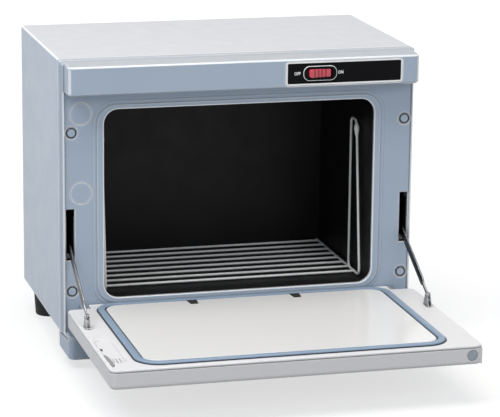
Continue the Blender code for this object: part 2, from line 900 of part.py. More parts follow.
def door_corners(margin=0.0):
    """The door's plan, narrower at its tail to pass between the hinge ears."""
    half, neck = door_width / 2, neck_width / 2
    near, notch, far = front(door_tail), front(notch_reach), front(door_reach)
    return [(-half, far), (half, far), (half, notch), (neck, notch), (neck, near),
            (-neck, near), (-neck, notch), (-half, notch)]


door_radii = [door_front_corner, door_front_corner, door_rear_corner, door_inner_corner, door_inner_corner,
              door_inner_corner, door_inner_corner, door_rear_corner]


def door_outline(inset=0.0):
    return outline(door_corners(), door_radii, inset)


def magnet_place():
    return Vector((door_width / 2 - magnet_inset, front(door_reach + magnet_proud),
                   up(door_surface - door_thickness / 2)))


def make_door_outer(door, plastic):
    """The door's outer tray with a rounded outer edge, a boss for the magnet and notches for the pins."""
    bottom, seam = up(door_surface - door_thickness), up(door_surface - liner_thickness) - seat_gap
    levels = []
    for step in range(corner_steps + 1):
        angle = pi / 2 * step / corner_steps
        level = bottom + door_edge * (1 - cos(angle))
        levels.append(laid(door_outline(door_edge * (1 - sin(angle))), level))
    levels += [laid(door_outline(), seam - door_seam), laid(door_outline(door_seam), seam)]
    tray = loft('door_outer', levels)
    room = loft('door_room', [laid(door_outline(door_wall), bottom + door_wall),
                              laid(door_outline(door_wall), seam + overrun)])
    cut(tray, room)
    face = magnet_place()
    boss_depth = magnet_thickness + magnet_wall
    boss = box('magnet_boss', (face.x - magnet_radius - magnet_wall, front(door_reach - door_wall / 2),
                               bottom + door_wall / 2),
               (door_width / 2 - door_wall / 2, front(door_reach - boss_depth), seam))
    join(tray, boss)
    inward = Vector((0.0, 1.0, 0.0))
    seat = rod('magnet_seat', face - inward * overrun,
               face + inward * (magnet_thickness + seat_gap), magnet_radius + seat_gap, turn_steps)
    cut(tray, seat)
    for side in (-1, 1):
        middle = Vector((side * (neck_width / 2 - overrun), front(hinge_reach), up(hinge_height)))
        outward = Vector((side * 1.0, 0.0, 0.0))
        cut(tray, rod('pin_notch', middle, middle + outward * 2 * overrun,
                      hinge_pin_radius + hinge_bush_wall + 2 * seat_gap, small_turn_steps))
    return mount(tray, door, plastic)


def make_door_liner(door, plastic):
    """The inner cover: a plate with hinge blocks under its tail and a cup for the finger grip."""
    top, under = up(door_surface), up(door_surface - liner_thickness)
    liner = loft('door_liner', [laid(door_outline(door_seam), under),
                                laid(door_outline(), under + door_seam),
                                laid(door_outline(), top - liner_edge),
                                laid(door_outline(liner_edge * round_share), top - liner_edge * round_share),
                                laid(door_outline(liner_edge), top)])
    for side in (-1, 1):
        outer = side * (neck_width / 2 - door_wall - seat_gap)
        inner = outer - side * hinge_block_width
        tail = door_tail + door_wall + seat_gap
        block = box('hinge_block',
                    (min(outer, inner), front(tail + hinge_block_depth), under - hinge_block_height),
                    (max(outer, inner), front(tail), top - liner_thickness / 2))
        join(liner, block)
        middle = Vector((side * (neck_width / 2 - hinge_block_width), front(hinge_reach), up(hinge_height)))
        outward = Vector((side * 1.0, 0.0, 0.0))
        cut(liner, rod('bush_seat', middle, middle + outward * 2 * hinge_block_width,
                       hinge_pin_radius + hinge_bush_wall + 2 * seat_gap, small_turn_steps))
    make_grip(liner, top)
    return mount(liner, door, plastic)


def make_grip(liner, top):
    """The finger grip: a shallow scoop with ribs, and a deep slot at the door's edge for the fingertips."""
    slot_outer = -(door_width / 2 - door_wall - grip_wall - seat_gap)
    slot_inner = slot_outer + grip_slot_width
    cup = box('grip_cup', (slot_outer - grip_wall, front(grip_slot_end + grip_wall),
                           top - grip_slot_depth - grip_wall),
              (slot_inner + grip_wall, front(grip_slot_start - grip_wall), top - liner_thickness / 2))
    join(liner, cup)
    middle = (-(grip_inner + grip_outer) / 2, front((grip_start + grip_end) / 2))
    length = grip_end - grip_start
    scoop = rectangle(grip_width, length, grip_scoop_corner, middle)
    shallow = rectangle(grip_width, length, grip_scoop_corner, middle, grip_scoop)
    cut(liner, loft('grip_scoop', [laid(shallow, top - grip_scoop), laid(scoop, top + seat_gap)]))
    slot_middle = ((slot_outer + slot_inner) / 2, front((grip_slot_start + grip_slot_end) / 2))
    mouth = crescent(slot_outer, grip_slot_width, slot_middle[1], grip_slot_length)
    cut(liner, loft('grip_slot', [laid(mouth, top - grip_slot_depth), laid(mouth, top + overrun)]))
    for rib in range(grip_rib_count):
        across = slot_inner + (grip_rib_pitch * rib + grip_rib_pitch / 2)
        along = front((grip_slot_start + grip_slot_end) / 2)
        low = top - grip_scoop - seat_gap
        join(liner, box('grip_rib', (across - grip_rib_width / 2, along - grip_rib_length / 2, low),
                        (across + grip_rib_width / 2, along + grip_rib_length / 2,
                         top - grip_scoop + grip_rib_rise)))


def crescent(outer, width, middle, length):
    """A slot's plan with a straight outer side and a bowed inner side, rounded off at its ends."""
    points = []
    steps = 4 * corner_steps
    for step in range(steps + 1):
        angle = pi * step / steps
        points.append((outer + width * sin(angle) ** grip_slot_bow, middle - length / 2 * cos(angle)))
    return points


def seal_outline(inset):
    """The gasket's rounded path on the door, drawn in from its outer edge."""
    middle = (0.0, front((gasket_rear + gasket_front) / 2))
    return rectangle(gasket_width, gasket_front - gasket_rear, gasket_corner, middle, inset)


def make_gasket(door, rubber):
    """A crowned rubber band that meets the lip round the opening when the door is shut."""
    low, high = up(door_surface) + seat_gap, up(door_surface + gasket_height)
    shoulder = low + (high - low) * gasket_shoulder_share
    gasket = loft('door_gasket', [laid(seal_outline(0.0), low),
                                  laid(seal_outline(gasket_taper / 3), shoulder),
                                  laid(seal_outline(gasket_taper), high),
                                  laid(seal_outline(gasket_band - gasket_taper), high),
                                  laid(seal_outline(gasket_band - gasket_taper / 3), shoulder),
                                  laid(seal_outline(gasket_band), low)], endless=True)
    return mount(gasket, door, rubber)


def clip_outline(side, grown=0.0):
    """A clip's plan: a short tab that narrows away from the gasket."""
    near = front(gasket_rear + gasket_band + inner_panel_gap)
    far = near - clip_depth - grown
    middle = side * clip_place
    wide, narrow = clip_width / 2 + grown, clip_width / 2 - clip_draft + grown
    return [(middle - wide, near + grown), (middle - narrow, far), (middle + narrow, far),
            (middle + wide, near + grown)]


def make_inner_panel(door, laminate, black):
    """The raised white panel inside the gasket, let in round two small clips, and the clips."""
    low, high = up(door_surface) + seat_gap, up(door_surface + inner_panel_rise)
    edge = gasket_band + inner_panel_gap
    panel = loft('door_inner_panel', [laid(seal_outline(edge), low),
                                      laid(seal_outline(edge), high - inner_panel_edge),
                                      laid(seal_outline(edge + inner_panel_edge), high)])
    for side, name in ((-1, 'left'), (1, 'right')):
        hollow = loft('clip_hollow', [laid(clip_outline(side, 2 * seat_gap), low - overrun),
                                      laid(clip_outline(side, 2 * seat_gap), high + overrun)])
        cut(panel, hollow)
        clip = loft('gasket_clip_' + name, [laid(clip_outline(side), low),
                                            laid(clip_outline(side), low + clip_thickness)])
        mount(clip, door, black)
    return mount(panel, door, laminate)


def make_door_core(door, foam):
    """The foam slab that keeps the door cool, between tray and liner."""
    half = grip_inner - grip_wall - overrun
    tail = door_tail + door_wall + hinge_block_depth + overrun
    nose = door_reach - door_wall - magnet_thickness - overrun
    low = up(door_surface - door_thickness) + door_wall + seat_gap
    core = box('door_insulation', (-half, front(nose), low),
               (half, front(tail), up(door_surface - liner_thickness) - seat_gap))
    return mount(core, door, foam)


def make_catch(door, cabinet, steel):
    """A disc magnet in the door's end face and the steel plate under the visor that it meets."""
    face = magnet_place()
    inward = Vector((0.0, 1.0, 0.0))
    magnet = turned('catch_magnet', [(magnet_radius - magnet_proud, 0.0), (magnet_radius, magnet_proud),
                                     (magnet_radius, magnet_thickness)], face, inward, turn_steps)
    mount(magnet, door, steel)
    closed_reach = hinge_reach + hinge_height - (face.z - up(0.0))
    under = up(visor_bottom) - seat_gap
    plate_corners = rectangle(catch_plate_length, catch_plate_width, catch_plate_thickness,
                              (face.x, front(closed_reach)))
    plate = loft('catch_plate', [laid(plate_corners, under - catch_plate_thickness),
                                 laid(plate_corners, under)])
    mount(plate, cabinet, steel)


# Hinge


def make_hinge(cabinet, door, steel, white):
    """A pin at each end, fixed in the ear, and a bush in the door that turns on it."""
    axis_y, axis_z = front(hinge_reach), up(hinge_height)
    for side, name in ((-1, 'left'), (1, 'right')):
        outward = Vector((side * 1.0, 0.0, 0.0))
        start = Vector((side * (neck_width / 2 - hinge_bush_length), axis_y, axis_z))
        end = Vector((side * (neck_width / 2 + ear_side_gap + ear_width / 2 - seat_gap), axis_y, axis_z))
        mount(rod('hinge_pin_' + name, start, end, hinge_pin_radius, small_turn_steps), cabinet, steel)
        inner, outer = hinge_pin_radius + seat_gap, hinge_pin_radius + hinge_bush_wall + seat_gap
        bush = turned('hinge_bush_' + name, [(inner, 0.0), (outer, 0.0), (outer, hinge_bush_length),
                                             (inner, hinge_bush_length)],
                      start, outward, small_turn_steps, endless=True)
        mount(bush, door, white)


# Stays


def stay_point(along, above):
    """A point of the stay's side view, from its distance along the stay and above its centre line."""
    pin_y, pin_z = front(stay_pin_reach), up(stay_pin_height)
    return (pin_y + along * cos(stay_angle) - above * sin(stay_angle),
            pin_z + along * sin(stay_angle) + above * cos(stay_angle))


def make_stay(name, side, empty, steel):
    """A flat strip: an eye on the bracket's pin, a thin neck, and a hook that catches behind the rest."""
    half, neck = stay_height / 2, stay_neck / 2
    spread = asin(neck / stay_eye_radius)
    points = []
    eye_steps = 2 * corner_steps
    for step in range(eye_steps + 1):
        angle = spread + (2 * pi - 2 * spread) * step / eye_steps
        points.append(stay_point(stay_eye_radius * cos(angle), stay_eye_radius * sin(angle)))
    points += [stay_point(stay_neck_length, -neck), stay_point(stay_neck_length + stay_shoulder, -half),
               stay_point(stay_length - stay_hook_thickness, -half),
               stay_point(stay_length - stay_hook_thickness, -half - stay_hook),
               stay_point(stay_length, -half - stay_hook), stay_point(stay_length, half),
               stay_point(stay_neck_length + stay_shoulder, half), stay_point(stay_neck_length, neck)]
    middle = side * slot_place
    half_thickness = stay_thickness / 2
    stay = loft(name, [sided(points, middle - half_thickness), sided(points, middle + half_thickness)])
    centre = Vector((middle, front(stay_pin_reach), up(stay_pin_height)))
    sideways = Vector((1.0, 0.0, 0.0))
    cut(stay, rod(name + '_hole', centre - sideways * overrun, centre + sideways * overrun,
                  stay_pin_radius + seat_gap, small_turn_steps))
    return mount(stay, empty, steel)


def make_bracket(side, name, door, steel):
    """A channel on the door whose two ears hold the stay's pin, and the riveted pin."""
    middle = side * slot_place
    clear = stay_thickness / 2 + bracket_gap
    outer = clear + bracket_wall
    low = up(door_surface) + seat_gap
    pin_z = up(stay_pin_height)
    plate = [(middle - outer, low), (middle + outer, low), (middle + outer, low + bracket_wall),
             (middle - outer, low + bracket_wall)]
    reach = bracket_length / 2
    pin_y = front(stay_pin_reach)
    bracket = loft('stay_bracket_' + name, [stood(plate, pin_y - reach), stood(plate, pin_y + reach)])
    for way in (-1, 1):
        inner_face, outer_face = middle + way * clear, middle + way * outer
        profile = [(pin_y - reach, low + bracket_wall / 2), (pin_y + reach, low + bracket_wall / 2)]
        for step in range(2 * corner_steps + 1):
            angle = pi * step / (2 * corner_steps)
            profile.append((pin_y + bracket_ear * cos(angle), pin_z + bracket_ear * sin(angle)))
        join(bracket, loft('bracket_ear', [sided(profile, inner_face), sided(profile, outer_face)]))
    centre = Vector((middle, pin_y, pin_z))
    sideways = Vector((1.0, 0.0, 0.0))
    cut(bracket, rod('bracket_hole', centre - sideways * overrun, centre + sideways * overrun,
                     stay_pin_radius + seat_gap, small_turn_steps))
    mount(bracket, door, steel)
    reach_out = outer + seat_gap
    head_end = reach_out + stay_pin_head_thickness
    pin = turned('stay_pin_' + name,
                 [(stay_pin_head, -head_end), (stay_pin_head, -reach_out), (stay_pin_radius, -reach_out),
                  (stay_pin_radius, reach_out), (stay_pin_head, reach_out), (stay_pin_head, head_end)],
                 centre, sideways, small_turn_steps)
    mount(pin, door, steel)


def make_guide(side, name, cabinet, steel):
    """A steel channel behind the slot, and the round rest across it that the stay lies on."""
    middle = side * slot_place
    near = front(face_back - seat_gap)
    far = near + guide_depth
    low = up(slot_bottom) - guide_foot - guide_wall
    inner, outer = guide_width / 2, guide_width / 2 + guide_wall
    high = low + guide_height
    section = [(middle - outer, low), (middle + outer, low), (middle + outer, high),
               (middle + inner, high), (middle + inner, low + guide_wall), (middle - inner, low + guide_wall),
               (middle - inner, high), (middle - outer, high)]
    guide = loft('stay_guide_' + name, [stood(section, near), stood(section, far)])
    centre = Vector((middle, front(rest_reach), up(rest_height)))
    sideways = Vector((1.0, 0.0, 0.0))
    cut(guide, rod('rest_hole', centre - sideways * (outer + overrun), centre + sideways * (outer + overrun),
                   rest_end_radius + seat_gap, small_turn_steps))
    mount(guide, cabinet, steel)
    shoulder = inner - seat_gap
    rest = turned('stay_rest_' + name,
                  [(rest_end_radius, -outer - seat_gap), (rest_end_radius, -shoulder),
                   (rest_radius, -shoulder), (rest_radius, shoulder), (rest_end_radius, shoulder),
                   (rest_end_radius, outer + seat_gap)],
                  centre, sideways, turn_steps)
    mount(rest, cabinet, steel)


# Towel chamber and what heats it


def chamber_outline(grow, drop=0.0):
    """The chamber's section, grown outwards, with its floor lowered by drop."""
    middle = (0.0, up((opening_bottom + opening_top) / 2) - drop / 2)
    height = opening_height + 2 * grow + drop
    return rectangle(opening_width + 2 * grow, height, chamber_corner + grow, middle)


def make_chamber(cabinet, dark):
    """The chamber is a deep-drawn box, open to the front, with a flange that lies behind the face."""
    flange_front = front(face_back - seat_gap)
    flange_back = flange_front + chamber_wall
    rear = flange_front + chamber_depth
    chamber = loft('towel_chamber', [stood(chamber_outline(0.0), rear - chamber_wall),
                                     stood(chamber_outline(0.0), flange_front),
                                     stood(chamber_outline(chamber_flange), flange_front),
                                     stood(chamber_outline(chamber_flange), flange_back),
                                     stood(chamber_outline(chamber_wall), flange_back),
                                     stood(chamber_outline(chamber_wall), rear)])
    return mount(chamber, cabinet, dark)


def make_heating(cabinet, foam, heater_finish, steel, white, black):
    """The heater lies under the chamber's floor inside the blanket, the thermostat and fuse below it."""
    flange_front = front(face_back - seat_gap)
    rear = flange_front + chamber_depth
    drop = heater_thickness + seat_gap
    inner, outer = chamber_wall + seat_gap, chamber_wall + seat_gap + blanket_thickness
    near = flange_front + chamber_wall + blanket_front_gap
    blanket = loft('insulation_blanket', [stood(chamber_outline(inner, drop), rear + seat_gap),
                                          stood(chamber_outline(inner, drop), near),
                                          stood(chamber_outline(outer, drop), near),
                                          stood(chamber_outline(outer, drop), rear + blanket_thickness / 2)])
    centre_y = front(-heater_place)
    plate = rectangle(heater_width, heater_depth, heater_corner, (0.0, centre_y))
    top = up(chamber_bottom) - seat_gap
    low = top - heater_thickness
    mount(loft('heater_plate', [laid(plate, low), laid(plate, top)]), cabinet, heater_finish)
    downward = Vector((0.0, 0.0, -1.0))
    seat = Vector((thermostat_place, centre_y, low - seat_gap))
    body = thermostat_height - thermostat_cap
    thermostat = turned('thermostat', [(thermostat_cap_radius, 0.0), (thermostat_cap_radius, thermostat_cap),
                                       (thermostat_radius, thermostat_cap), (thermostat_radius, body),
                                       (thermostat_radius / 2, thermostat_height)],
                        seat, downward, turn_steps)
    mount(thermostat, cabinet, white)
    fuse_low = low - seat_gap - fuse_pad - 2 * fuse_radius
    fuse_middle = (fuse_place, centre_y)
    fuse_box = rectangle(fuse_length, 2 * fuse_radius, fuse_radius - seat_gap, fuse_middle)
    mount(loft('thermal_fuse', [laid(fuse_box, fuse_low), laid(fuse_box, low - seat_gap)]), cabinet, steel)
    window_top, window_low = low + seat_gap, low - blanket_thickness - overrun
    cut(blanket, rod('thermostat_window', Vector((thermostat_place, centre_y, window_low)),
                     Vector((thermostat_place, centre_y, low - seat_gap / 3)),
                     thermostat_cap_radius + window_margin, turn_steps))
    hole = rectangle(fuse_length, 2 * fuse_radius, fuse_radius, fuse_middle, -window_margin)
    cut(blanket, loft('fuse_window', [laid(hole, window_low), laid(hole, low - seat_gap / 3)]))
    mount(blanket, cabinet, foam)
    make_terminal_block(cabinet, black)


def make_terminal_block(cabinet, black):
    """Three poles in a row on the base pan, near the cord's bush."""
    length = terminal_pole * terminal_poles
    floor = up(shell_wall) + seat_gap
    far = front(-shell_depth) - terminal_inset
    block = box('terminal_block', (bush_place - length / 2, far - terminal_depth, floor),
                (bush_place + length / 2, far, floor + terminal_height))
    for gap in range(1, terminal_poles):
        across = bush_place - length / 2 + terminal_pole * gap
        cut(block, box('pole_gap', (across - terminal_groove / 2, far - terminal_depth - overrun,
                                    floor + terminal_height / 2),
                       (across + terminal_groove / 2, far + overrun, floor + terminal_height + overrun)))
    mount(block, cabinet, black)


# Wire rack


def bent(corners, across):
    """A wire's path through these corners, each bend rounded, in the plane of one side."""
    path = []
    for index, corner in enumerate(corners):
        here = Vector(corner)
        before = (Vector(corners[index - 1]) - here).normalized()
        after = (Vector(corners[(index + 1) % len(corners)]) - here).normalized()
        start, end = here + before * rack_bend, here + after * rack_bend
        for step in range(corner_steps + 1):
            share = step / corner_steps
            bend = start * (1 - share) ** 2 + here * 2 * share * (1 - share) + end * share ** 2
            path.append(Vector((across, bend.x, bend.y)))
    return path


def rack_loop(side):
    """The hand loop at a side: a leaning front wire, a short link at the top and an upright behind it."""
    floor = up(opening_bottom + rack_floor_gap + wire_radius)
    top = floor + rack_height
    return bent([(front(-rack_front), floor), (front(-rack_upright), floor), (front(-rack_upright), top),
                 (front(-rack_front - rack_lean), top)], side * rack_width / 2)


def make_rack(cabinet, white_wire):
    """The rack is welded of wire: a hand loop and a runner at each side, with cross wires between."""
    rack = wire('wire_rack', rack_loop(-1), wire_radius)
    join(rack, wire('rack_side', rack_loop(1), wire_radius))
    half = rack_width / 2
    floor = up(opening_bottom + rack_floor_gap + wire_radius)
    cross_level = floor + wire_radius / 2
    first, last = rack_front + 2 * rack_bend, rack_back - rack_bend
    for number in range(rack_cross_count):
        place = front(-first - (last - first) * number / (rack_cross_count - 1))
        join(rack, rod('rack_cross', Vector((-half - wire_radius / 2, place, cross_level)),
                       Vector((half + wire_radius / 2, place, cross_level)), wire_radius, wire_sides))
    for side in (-1, 1):
        start = front(-rack_upright) - rack_bend - 2 * wire_radius
        end = Vector((side * half, front(-rack_back), floor))
        join(rack, rod('rack_runner', Vector((side * half, start, floor)), end, wire_radius * runner_share,
                       wire_sides))
        tip_top = Vector((side * half, front(-rack_front - rack_lean), floor + rack_height - rack_bend / 2))
        lean = Vector((0.0, -rack_lean, -rack_height)).normalized()
        drop = [(rack_tip_radius * wide, rack_tip_length * along) for along, wide in rack_tip_shares]
        tip = turned('rack_tip', [(wire_radius / 2, 0.0)] + drop + [(wire_radius / 2, rack_tip_length)],
                     tip_top, lean, small_turn_steps)
        join(rack, tip)
    return mount(rack, cabinet, white_wire)


# Control panel and switch


def make_control_panel(cabinet, black, white, red, switch_carrier):
    middle = (panel_place, up(panel_centre))
    back, face = front(visor_reach - panel_thickness), front(visor_reach)
    sheet = rectangle(panel_width, panel_height, panel_corner, middle, seat_gap)
    panel = loft('control_panel', [stood(sheet, back), stood(sheet, face)])
    cut(panel, make_switch_hole('panel_switch_hole'))
    mount(panel, cabinet, black)
    outer = rectangle(panel_width + 2 * border_width, panel_height + 2 * border_width,
                      panel_corner + border_width, middle)
    inner = rectangle(panel_width, panel_height, panel_corner, middle)
    proud = front(visor_reach + border_proud)
    border = loft('panel_border', [stood(outer, back), stood(outer, proud), stood(inner, proud),
                                   stood(inner, back)], endless=True)
    mount(border, cabinet, white)
    make_switch(cabinet, black, red, switch_carrier)


def make_switch(cabinet, black, red, switch_carrier):
    """The switch snaps into the panel: a bezel, a body behind it, and a rocker in its pocket."""
    middle = (switch_place, up(panel_centre))
    seat = front(visor_reach) - seat_gap
    rim = seat - bezel_rise
    swing = rocker_width * cos(rocker_tilt) + 2 * rocker_front * sin(rocker_tilt)
    pocket_width = swing + 2 * rocker_swing_gap
    pocket_height = rocker_height + 2 * rocker_gap

    def ring(width, height, radius, place, inset=0.0):
        return stood(rectangle(width, height, radius, middle, inset), place)

    bezel = (bezel_width, bezel_height, bezel_corner)
    body = (switch_body_width, switch_body_height, switch_body_corner)
    pocket = (pocket_width, pocket_height, switch_body_corner)
    housing = loft('switch_housing', [ring(*pocket, rim + switch_pocket_depth), ring(*pocket, rim),
                                      ring(*bezel, rim, bezel_edge), ring(*bezel, rim + bezel_edge),
                                      ring(*bezel, seat), ring(*body, seat),
                                      ring(*body, seat + switch_body_depth)])
    mount(housing, cabinet, black)
    pivot = rocker_pivot()
    half, lean = rocker_width / 2, rocker_tilt
    profile = [(-half, rocker_front), (-half, -rocker_side), (0.0, -rocker_belly), (half, -rocker_side),
               (half, rocker_front), (0.0, rocker_front - rocker_dip)]
    points = []
    for across, forward in profile:
        points.append((pivot.x + across * cos(lean) + forward * sin(lean),
                       pivot.y + across * sin(lean) - forward * cos(lean)))
    rocker = loft('power_rocker', [laid(points, pivot.z - rocker_height / 2),
                                   laid(points, pivot.z + rocker_height / 2)])
    mount(rocker, switch_carrier, red)


def rocker_pivot():
    rim = front(visor_reach) - seat_gap - bezel_rise
    return Vector((switch_place, rim + rocker_pivot_depth, up(panel_centre)))


# The whole cabinet


def build():
    clear_scene()
    grey_paint = finish('grey_painted_steel', (0.44, 0.50, 0.58), 0.45)
    grey_plastic = finish('blue_grey_plastic', (0.32, 0.37, 0.44), 0.42)
    white_plastic = finish('warm_white_plastic', (0.80, 0.78, 0.75), 0.40)
    white_laminate = finish('white_panel', (0.83, 0.81, 0.78), 0.35)
    gasket_rubber = finish('blue_grey_rubber', (0.23, 0.31, 0.41), 0.60)
    black_rubber = finish('black_rubber', (0.02, 0.02, 0.02), 0.70)
    black_plastic = finish('black_plastic', (0.015, 0.015, 0.018), 0.30)
    red_lens = finish('red_lens', (0.58, 0.05, 0.08), 0.20)
    bright_steel = finish('bright_steel', (0.70, 0.71, 0.72), 0.25, 1.0)
    zinc_steel = finish('zinc_plated_steel', (0.60, 0.60, 0.60), 0.40, 1.0)
    dark_liner = finish('black_enamel', (0.03, 0.03, 0.03), 0.50)
    white_wire = finish('white_coated_wire', (0.82, 0.82, 0.80), 0.35)
    foam = finish('glass_wool', (0.75, 0.70, 0.45), 0.95)
    heater_finish = finish('silicone_heater', (0.50, 0.16, 0.08), 0.60)

    cabinet = carrier('cabinet', (0.0, 0.0, 0.0))
    door = carrier('door_hinge_axis', (0.0, front(hinge_reach), up(hinge_height)), cabinet)
    switch_carrier = carrier('rocker_axis', tuple(rocker_pivot()), cabinet)

    shell = make_shell(cabinet, grey_paint)
    base_pan = make_base_pan(cabinet, zinc_steel)
    make_feet(cabinet, base_pan, black_rubber, zinc_steel)
    make_back(cabinet, shell, grey_paint, zinc_steel, black_plastic)
    make_front_frame(cabinet, grey_plastic)
    make_plugs(cabinet, grey_plastic)
    make_base_rail(cabinet, grey_plastic)

    make_door_outer(door, white_plastic)
    make_door_liner(door, white_plastic)
    make_door_core(door, foam)
    make_gasket(door, gasket_rubber)
    make_inner_panel(door, white_laminate, black_rubber)
    make_catch(door, cabinet, zinc_steel)
    make_hinge(cabinet, door, zinc_steel, white_plastic)

    for side, name in ((-1, 'left'), (1, 'right')):
        pin_place = (side * slot_place, front(stay_pin_reach), up(stay_pin_height))
        axis = carrier('stay_axis_' + name, pin_place, door)
        make_stay('stay_' + name, side, axis, bright_steel)
        make_bracket(side, name, door, zinc_steel)
        make_guide(side, name, cabinet, zinc_steel)

    make_chamber(cabinet, dark_liner)
    make_heating(cabinet, foam, heater_finish, zinc_steel, white_plastic, black_plastic)
    make_rack(cabinet, white_wire)
    make_control_panel(cabinet, black_plastic, white_plastic, red_lens, switch_carrier)
    bpy.context.view_layer.update()


build()
ratio = (stay_angle - stay_closed_angle) / (pi / 2) - 1
print('hinge axis at y %.5f z %.5f' % (front(hinge_reach), up(hinge_height)))
print('stay pin at y %.5f z %.5f' % (front(stay_pin_reach), up(stay_pin_height)))
print('stay slope %.3f degrees' % degrees(stay_angle))
print('stay turn per door turn %.5f' % ratio)
print('rocker pivot', tuple(round(value, 5) for value in rocker_pivot()))
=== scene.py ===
# %% [markdown]
# # A hot towel cabinet, dressed
# The cabinet is a painted steel box with a moulded front, a door that folds down on two stays, and a
# warm black chamber. Its solids come packed from the CAD model, already at their real size and place.
# This lesson gives every surface its finish, and rebuilds the pieces whose rounded edges show most.
# We load the solids first, and new pieces read their sizes from the solids' boxes. Nothing we add may
# make the cabinet bigger.

# %% Load the imported solids
from math import asin, cos, pi, radians, sin

import bmesh
import bpy
from mathutils import Matrix, Vector


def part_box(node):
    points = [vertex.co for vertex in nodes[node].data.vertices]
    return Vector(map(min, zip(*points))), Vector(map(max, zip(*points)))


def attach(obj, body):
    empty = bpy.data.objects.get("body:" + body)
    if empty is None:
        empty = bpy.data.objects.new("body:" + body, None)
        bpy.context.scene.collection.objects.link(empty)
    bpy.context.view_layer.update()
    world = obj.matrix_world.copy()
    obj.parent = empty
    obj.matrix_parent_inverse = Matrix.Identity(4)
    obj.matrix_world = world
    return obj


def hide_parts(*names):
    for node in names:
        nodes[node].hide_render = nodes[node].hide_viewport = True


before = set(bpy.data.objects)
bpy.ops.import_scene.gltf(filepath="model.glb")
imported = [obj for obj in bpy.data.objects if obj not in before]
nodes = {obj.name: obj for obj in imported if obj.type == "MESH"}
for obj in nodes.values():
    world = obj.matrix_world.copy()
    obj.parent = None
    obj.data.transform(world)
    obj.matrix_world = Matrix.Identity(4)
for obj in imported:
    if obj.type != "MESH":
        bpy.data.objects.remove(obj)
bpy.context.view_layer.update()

# %% [markdown]
# ## The camera
# The photograph looks down on the cabinet from its front left with a long lens, so upright edges stay
# nearly parallel. A camera can be aimed by eye or worked out from corners whose real places are known.
# This one was worked out: a turn, a dip and a very small roll, and the lens length in millimetres.

# %% Set up the camera
view_place = Vector((-0.7705, -2.8560, 0.9069))
view_turn, view_dip, view_roll = radians(15.341), radians(13.722), radians(0.626)
sensor_width = 36.0
picture_width, focal_pixels = 500, 2454.5
lens_length = sensor_width * focal_pixels / picture_width

ahead = Vector((sin(view_turn) * cos(view_dip), cos(view_turn) * cos(view_dip), -sin(view_dip)))
level = Vector((cos(view_turn), -sin(view_turn), 0.0))
rightward = level * cos(view_roll) + level.cross(ahead) * sin(view_roll)
upward = rightward.cross(ahead)
camera = bpy.data.objects.new("camera", bpy.data.cameras.new("camera"))
camera.data.lens = lens_length
camera.data.sensor_width = sensor_width
camera.data.clip_end = 50.0
aim = Matrix((rightward, upward, -ahead)).transposed().to_4x4()
camera.matrix_world = Matrix.Translation(view_place) @ aim
bpy.context.collection.objects.link(camera)
bpy.context.scene.camera = camera
print("lens:", round(lens_length, 1), "mm")

# %% [markdown]
# ## Floor and light
# The cabinet was photographed on white paper under soft lamps. We lay a grey floor that the camera and
# the reflections see much brighter than it is, and brighter still far out, so it turns white but keeps
# a soft shadow and throws little light back up. A large warm lamp overhead lights the top and the open
# door, a cool one high on the left lights that side, and a wide one fills the front.
#
# A material is a small graph of nodes, so a few helpers come first. One switches the nodes on, one works
# out a value from two others, and one moves a range of values onto another range.

# %% Helpers for node graphs
def node_tree(material):
    """Switch nodes on and hand back the nodes, the links and the surface shader."""
    material.use_nodes = True
    tree = material.node_tree
    return tree.nodes, tree.links, tree.nodes["Principled BSDF"]


def combined(parts, links, operation, first, second):
    """Work out one value from two, such as the larger one or their product."""
    worked_out = parts.new("ShaderNodeMath")
    worked_out.operation = operation
    links.new(first, worked_out.inputs[0])
    links.new(second, worked_out.inputs[1])
    return worked_out.outputs[0]


def remap(parts, links, source, low, high, start=0.3, end=0.7):
    """Turn the range of a source from start to end into the range from low to high."""
    span = parts.new("ShaderNodeMapRange")
    span.inputs["From Min"].default_value = start
    span.inputs["From Max"].default_value = end
    span.inputs["To Min"].default_value = low
    span.inputs["To Max"].default_value = high
    links.new(source, span.inputs["Value"])
    return span.outputs["Result"]


def camera_share(parts, links):
    """One for rays that the eye, a gloss or a glass sends, and zero for the rest."""
    sent_by = parts.new("ShaderNodeLightPath").outputs
    eye_or_gloss = combined(parts, links, "MAXIMUM", sent_by["Is Camera Ray"], sent_by["Is Glossy Ray"])
    return combined(parts, links, "MAXIMUM", eye_or_gloss, sent_by["Is Transmission Ray"])


print("helpers:", [made.__name__ for made in (node_tree, combined, remap, camera_share)])


# %% The paper floor
def lay_floor():
    """A wide sheet whose glow for the eye rises from near to far, counted in metres from its middle."""
    half, near, far = 9.0, 0.35, 1.6
    near_glow, far_glow = 0.66, 0.84
    sheet = bpy.data.meshes.new("floor")
    corners = [(-half, -half, 0), (half, -half, 0), (half, half, 0), (-half, half, 0)]
    sheet.from_pydata(corners, [], [(0, 1, 2, 3)])
    floor = bpy.data.objects.new("floor", sheet)
    bpy.context.collection.objects.link(floor)
    paper = bpy.data.materials.new("white paper")
    parts, links, shader = node_tree(paper)
    shader.inputs["Base Color"].default_value = (0.36, 0.36, 0.36, 1.0)
    shader.inputs["Roughness"].default_value = 0.9
    shader.inputs["Specular IOR Level"].default_value = 0.1
    glow = parts.new("ShaderNodeEmission")
    glow.inputs["Color"].default_value = (1.0, 1.0, 1.0, 1.0)
    place = parts.new("ShaderNodeTexCoord")
    outward = parts.new("ShaderNodeVectorMath")
    outward.operation = "LENGTH"
    links.new(place.outputs["Object"], outward.inputs[0])
    rise = remap(parts, links, outward.outputs["Value"], near_glow, far_glow, near, far)
    strength = combined(parts, links, "MULTIPLY", camera_share(parts, links), rise)
    links.new(strength, glow.inputs["Strength"])
    both = parts.new("ShaderNodeAddShader")
    links.new(shader.outputs[0], both.inputs[0])
    links.new(glow.outputs[0], both.inputs[1])
    links.new(both.outputs[0], parts["Material Output"].inputs["Surface"])
    sheet.materials.append(paper)
    return floor


